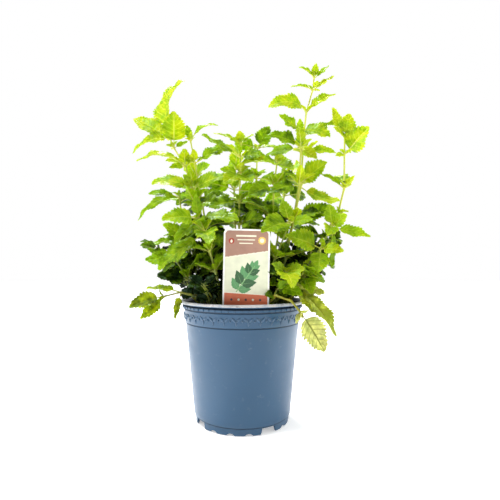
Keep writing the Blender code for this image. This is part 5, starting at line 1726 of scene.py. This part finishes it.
def leaf_material():
    """Leaf blade: painted dark green where shaded to lime at the top, with patches of painted light and
    shade, paler along the veins, paler at the edge as a painted highlight, and lit through.
    """
    n = Nodes("leaf_blade")
    young_and_lit, faded, own, broad = n.tone()
    uv = n.add("ShaderNodeUVMap", uv_map="veins")
    place = n.add("ShaderNodeSeparateXYZ")
    n.join(uv.outputs[0], place.inputs[0])
    across = n.math("ABSOLUTE", place.outputs[0])
    between = n.math("PINGPONG", place.outputs[1], 0.5)
    side_vein = n.spread(between, 0.02, 0.11, 1.0, 0.0)
    midrib = n.spread(across, 0.03, 0.09, 1.0, 0.0)
    veins = n.math("MAXIMUM", n.times(side_vein, 0.75), midrib)
    calm = n.times(n.spread(young_and_lit, 0.7, 1.0, 1.0, 0.75), broad)
    mottled = n.times(n.spread(n.noise(170.0, 3.0, 0.6), 0.32, 0.68, -0.08, 0.08), calm)
    # Broad patches of painted light and shade, as where half a blade faces the light
    light_and_shade_patches = n.times(n.spread(n.noise(85.0, 2.0), 0.36, 0.62, -0.26, 0.1), broad)
    varied_by = n.times(n.math("SUBTRACT", own, 0.5), 0.3)
    light = n.plus(n.plus(young_and_lit, n.plus(mottled, light_and_shade_patches)), varied_by)
    pale = n.ramp(light, VEIN_COLOURS)
    colour = n.mix(n.times(veins, 0.7), n.ramp(light, LEAF_COLOURS), pale)
    net = n.spread(n.noise(700.0, 2.0), 0.42, 0.5, 0.0, 0.12)
    # Paler towards the blade's edge: a painted edge highlight
    edge = n.spread(across, 0.8, 1.0, 0.0, 0.35)
    colour = n.mix(edge, n.mix(net, colour, pale), pale)
    patch = n.spread(n.noise(230.0, 3.0), 0.36, 0.6, 0.7, 1.0)
    browned = n.times(n.spread(n.noise(110.0, 4.0), 0.4, 0.54), n.spread(faded, 0.5, 1.0, 0.95, 0.18))
    spent = n.mix(n.spread(faded, 0.5, 0.9), FADED_YELLOW, FADED_PALE)
    spent = n.mix(browned, spent, FADED_OLIVE)
    colour = n.mix(n.times(faded, patch), colour, spent)
    colour = n.mix(n.times(n.times(faded, veins), 0.75), colour, FADED_OLIVE)
    velvet = n.bump(n.noise(1500.0, 2.0), 0.00012, 0.5)
    crinkle = n.bump(n.noise(330.0, 3.0, 0.6), 0.0006, n.times(calm, 0.9), velvet)
    sunken = n.bump(n.times(veins, -1.0), 0.0004, n.times(broad, 0.9), crinkle)
    n.surface(colour, sunken, Roughness=0.35, Specular_IOR_Level=0.27, Specular_Tint=LEAF_GLOSS)
    through = n.add("ShaderNodeBsdfTranslucent")
    fresh = n.times(n.math("SUBTRACT", 1.2, faded, clamp=True), 0.55)
    glow = n.mix(fresh, colour, GLOW, "MULTIPLY")
    n.join(n.mix(1.0, glow, GLOW_STRENGTH, "MULTIPLY"), through.inputs["Color"])
    mixed = n.add("ShaderNodeMixShader")
    mixed.inputs[0].default_value = LIT_THROUGH
    n.join(n.shader.outputs[0], mixed.inputs[1])
    n.join(through.outputs[0], mixed.inputs[2])
    n.join(mixed.outputs[0], n.output.inputs["Surface"])
    return n.material


def stem_material():
    """Stems and leaf stalks: pale yellow-green, darker and browner low down, partly as painted shade, with
    fine lengthwise streaks.
    """
    n = Nodes("stem_skin")
    young_and_lit, faded, _, _ = n.tone()
    height = n.spread(n.height(), 0.105, 0.24)
    light = n.plus(n.times(young_and_lit, 0.45), n.times(height, 0.55))
    streaks = n.spread(n.noise(420.0, 3.0, stretch=(1.0, 1.0, 0.12)), 0.3, 0.7, -0.14, 0.14)
    colour = n.ramp(n.plus(light, streaks), STEM_COLOURS)
    colour = n.mix(n.times(faded, 0.6), colour, STEM_FADED)
    ridges = n.bump(n.noise(900.0, 2.0, stretch=(1.0, 1.0, 0.1)), 0.00015, 0.6)
    n.set(Subsurface_Weight=0.12, Subsurface_Scale=0.001)
    return n.surface(colour, ridges, Roughness=0.45, Specular_IOR_Level=0.45)


def pot_material(name, painted_highlight=0.0):
    """Satin blue-grey plastic, faintly clouded and dusty, with fine scuffs, paler towards the foot as
    painted floor light, with painted shade in its seams, and paled by a share as a painted highlight.
    """
    n = Nodes(name)
    cloud = n.spread(n.noise(16.0, 4.0), 0.3, 0.7)
    colour = n.mix(cloud, POT_BLUE, POT_BLUE_PALE)
    dust = n.spread(n.noise(140.0, 6.0, 0.7), 0.6, 0.78, 0.0, 0.22)
    colour = n.mix(dust, colour, POT_DUST_AND_HIGHLIGHT)
    # Paler towards the foot: painted light from the floor
    low = n.spread(n.height(), 0.0, 0.03, 0.35, 0.0)
    colour = n.mix(low, colour, POT_BLUE_PALE)
    # Paled by a share towards the dust colour: a painted highlight on the raised work
    colour = n.mix(painted_highlight, colour, POT_DUST_AND_HIGHLIGHT)
    # Dark bands at the seams: painted shade with a little dirt, which also roughens them
    seam_shade_and_dirt = 0.0
    for seam, half, share in POT_SEAMS:
        off = n.math("ABSOLUTE", n.math("SUBTRACT", n.height(), seam * MM))
        seam_shade_and_dirt = n.math("MAXIMUM", seam_shade_and_dirt, n.spread(off, 0.3 * half * MM, half * MM, share, 0.0))
    satin = n.spread(n.noise(60.0, 5.0), 0.3, 0.7, 0.34, 0.46)
    n.join(n.plus(satin, n.times(seam_shade_and_dirt, 0.5)), n.shader.inputs["Roughness"])
    scuffs = n.bump(n.noise(700.0, 3.0, stretch=(1.0, 1.0, 0.35)), 0.00005, 0.5)
    return n.surface(n.mix(seam_shade_and_dirt, colour, POT_SEAM), scuffs, Specular_IOR_Level=0.5)


def lip_material():
    """The pot's rim: the same plastic pale grey in patches, partly worn and partly a painted highlight, with
    soil dust in patches.
    """
    n = Nodes("pot_lip_worn")
    # Pale grey patches on the rim's top: partly wear, partly a painted highlight
    worn_and_highlit = n.spread(n.noise(90.0, 5.0, 0.65), 0.32, 0.55)
    soiled = n.spread(n.noise(210.0, 4.0), 0.55, 0.68, 0.0, 0.7)
    colour = n.mix(soiled, n.mix(worn_and_highlit, LIP_BLUE, LIP_PALE), LIP_SOILED)
    return n.surface(colour, n.bump(n.noise(500.0, 4.0), 0.0001, 0.5), Roughness=0.4)


def soil_material():
    """Damp peat: near black with brown crumbs, rough all over."""
    n = Nodes("peat")
    colour = n.ramp(n.noise(520.0, 6.0, 0.7), SOIL_COLOURS)
    fine = n.bump(n.noise(1600.0, 5.0, 0.7), 0.0004, 0.8)
    coarse = n.bump(n.noise(420.0, 4.0, 0.6), 0.0012, 0.7, fine)
    return n.surface(colour, coarse, Roughness=0.88, Specular_IOR_Level=0.25)


def plain_material(name, colour, roughness, gloss=0.5):
    """One colour with a faint cloudiness and a fine grain, for card, print, fibres and the near-black
    painted shade in the groove under the lip.
    """
    n = Nodes(name)
    cloud = n.spread(n.noise(160.0, 3.0), 0.3, 0.7)
    darker = tuple(channel * 0.88 for channel in colour)
    clouded = n.mix(cloud, (*darker, 1.0), (*colour, 1.0))
    grain = n.bump(n.noise(1200.0, 2.0), 0.00003, 0.5)
    return n.surface(clouded, grain, Roughness=roughness, Specular_IOR_Level=gloss)


def make_stage():
    """A wide pale floor, a white surround and soft lights."""
    bpy.ops.mesh.primitive_circle_add(vertices=96, radius=FLOOR_RADIUS, fill_type="NGON")
    floor = bpy.context.object
    floor.name = "floor"
    floor.location.z = -0.0005
    n = Nodes("pale_floor")
    n.set(Base_Color=FLOOR_WHITE, Roughness=0.7, Specular_IOR_Level=0.2)
    n.set(Emission_Color=FLOOR_WHITE, Emission_Strength=FLOOR_GLOW)
    floor.data.materials.append(n.material)
    make_surround()
    for name, (place, size, power) in LIGHTS.items():
        lamp = bpy.data.lights.new(name, "AREA")
        lamp.shape = "DISK"
        lamp.size = size
        lamp.energy = power
        made = bpy.data.objects.new(name, lamp)
        bpy.context.scene.collection.objects.link(made)
        made.location = place
        made.rotation_euler = (Vector(LIGHT_AIM) - Vector(place)).to_track_quat("-Z", "Y").to_euler()


def make_surround():
    """White all round, with less light from the front and from straight above, as between side screens."""
    world = bpy.data.worlds.new("white_surround")
    world.use_nodes = True
    tree = world.node_tree
    parts = tree.nodes.new("ShaderNodeSeparateXYZ")
    tree.links.new(tree.nodes.new("ShaderNodeTexCoord").outputs["Generated"], parts.inputs[0])
    both = tree.nodes.new("ShaderNodeMath")
    both.operation = "MULTIPLY"
    settings = ((1, FRONT_SPREAD, FRONT_LIGHT, 1.0), (2, ROOF_EDGE, 1.0, ROOF_LIGHT))
    for target, (axis, (low, high), start, end) in zip(both.inputs, settings):
        fade = tree.nodes.new("ShaderNodeMapRange")
        fade.interpolation_type = "SMOOTHSTEP"
        for socket, number in zip(fade.inputs[1:5], (low, high, start, end)):
            socket.default_value = number
        tree.links.new(parts.outputs[axis], fade.inputs[0])
        tree.links.new(fade.outputs[0], target)
    tree.links.new(both.outputs[0], tree.nodes["Background"].inputs["Strength"])
    tree.nodes["Background"].inputs["Color"].default_value = (1.0, 1.0, 1.0, 1.0)
    bpy.context.scene.world = world


def make_camera():
    """The photo's view: from the front, a little above the pot's rim."""
    camera = bpy.data.objects.new("camera", bpy.data.cameras.new("camera"))
    bpy.context.scene.collection.objects.link(camera)
    camera.location = CAMERA_PLACE
    camera.rotation_euler = (math.radians(CAMERA_PITCH_DEGREES), 0.0, 0.0)
    camera.data.lens = CAMERA_LENS
    camera.data.sensor_width = CAMERA_SENSOR
    camera.data.shift_x = CAMERA_SHIFT
    camera.data.clip_start = 0.01
    bpy.context.scene.camera = camera
    bpy.context.scene.view_settings.view_transform = "Standard"


def main():
    """The finishes, then every piece, then the stage and the camera."""
    leafy = [leaf_material(), stem_material()]
    plastic = pot_material("pot_plastic_fine")
    # The raised seedlings are paled as a painted highlight
    painted_highlight = pot_material("pot_plastic_rubbed", 0.1)
    fibre = plain_material("fibre", FIBRE, 0.8)
    peat = soil_material()
    inks = {name: plain_material("print_" + name, colour, 0.42) for name, colour in INKS.items()}
    make_pot(plastic, lip_material(), plain_material("pot_groove_soiled", POT_SEAM[:3], 0.95, 0.1))
    make_relief(painted_highlight)
    make_ribs(plastic)
    make_soil(peat)
    chance = random.Random(SEED + 3)
    make_crumbs(peat, chance)
    make_fibres(fibre, chance)
    make_card(plain_material("card", CARD_WHITE, 0.38))
    make_print(inks)
    lines = stem_lines()
    make_foliage(lines, grown_leaves(lines), leafy)
    make_undergrowth(leafy)
    make_stage()
    make_camera()


main()
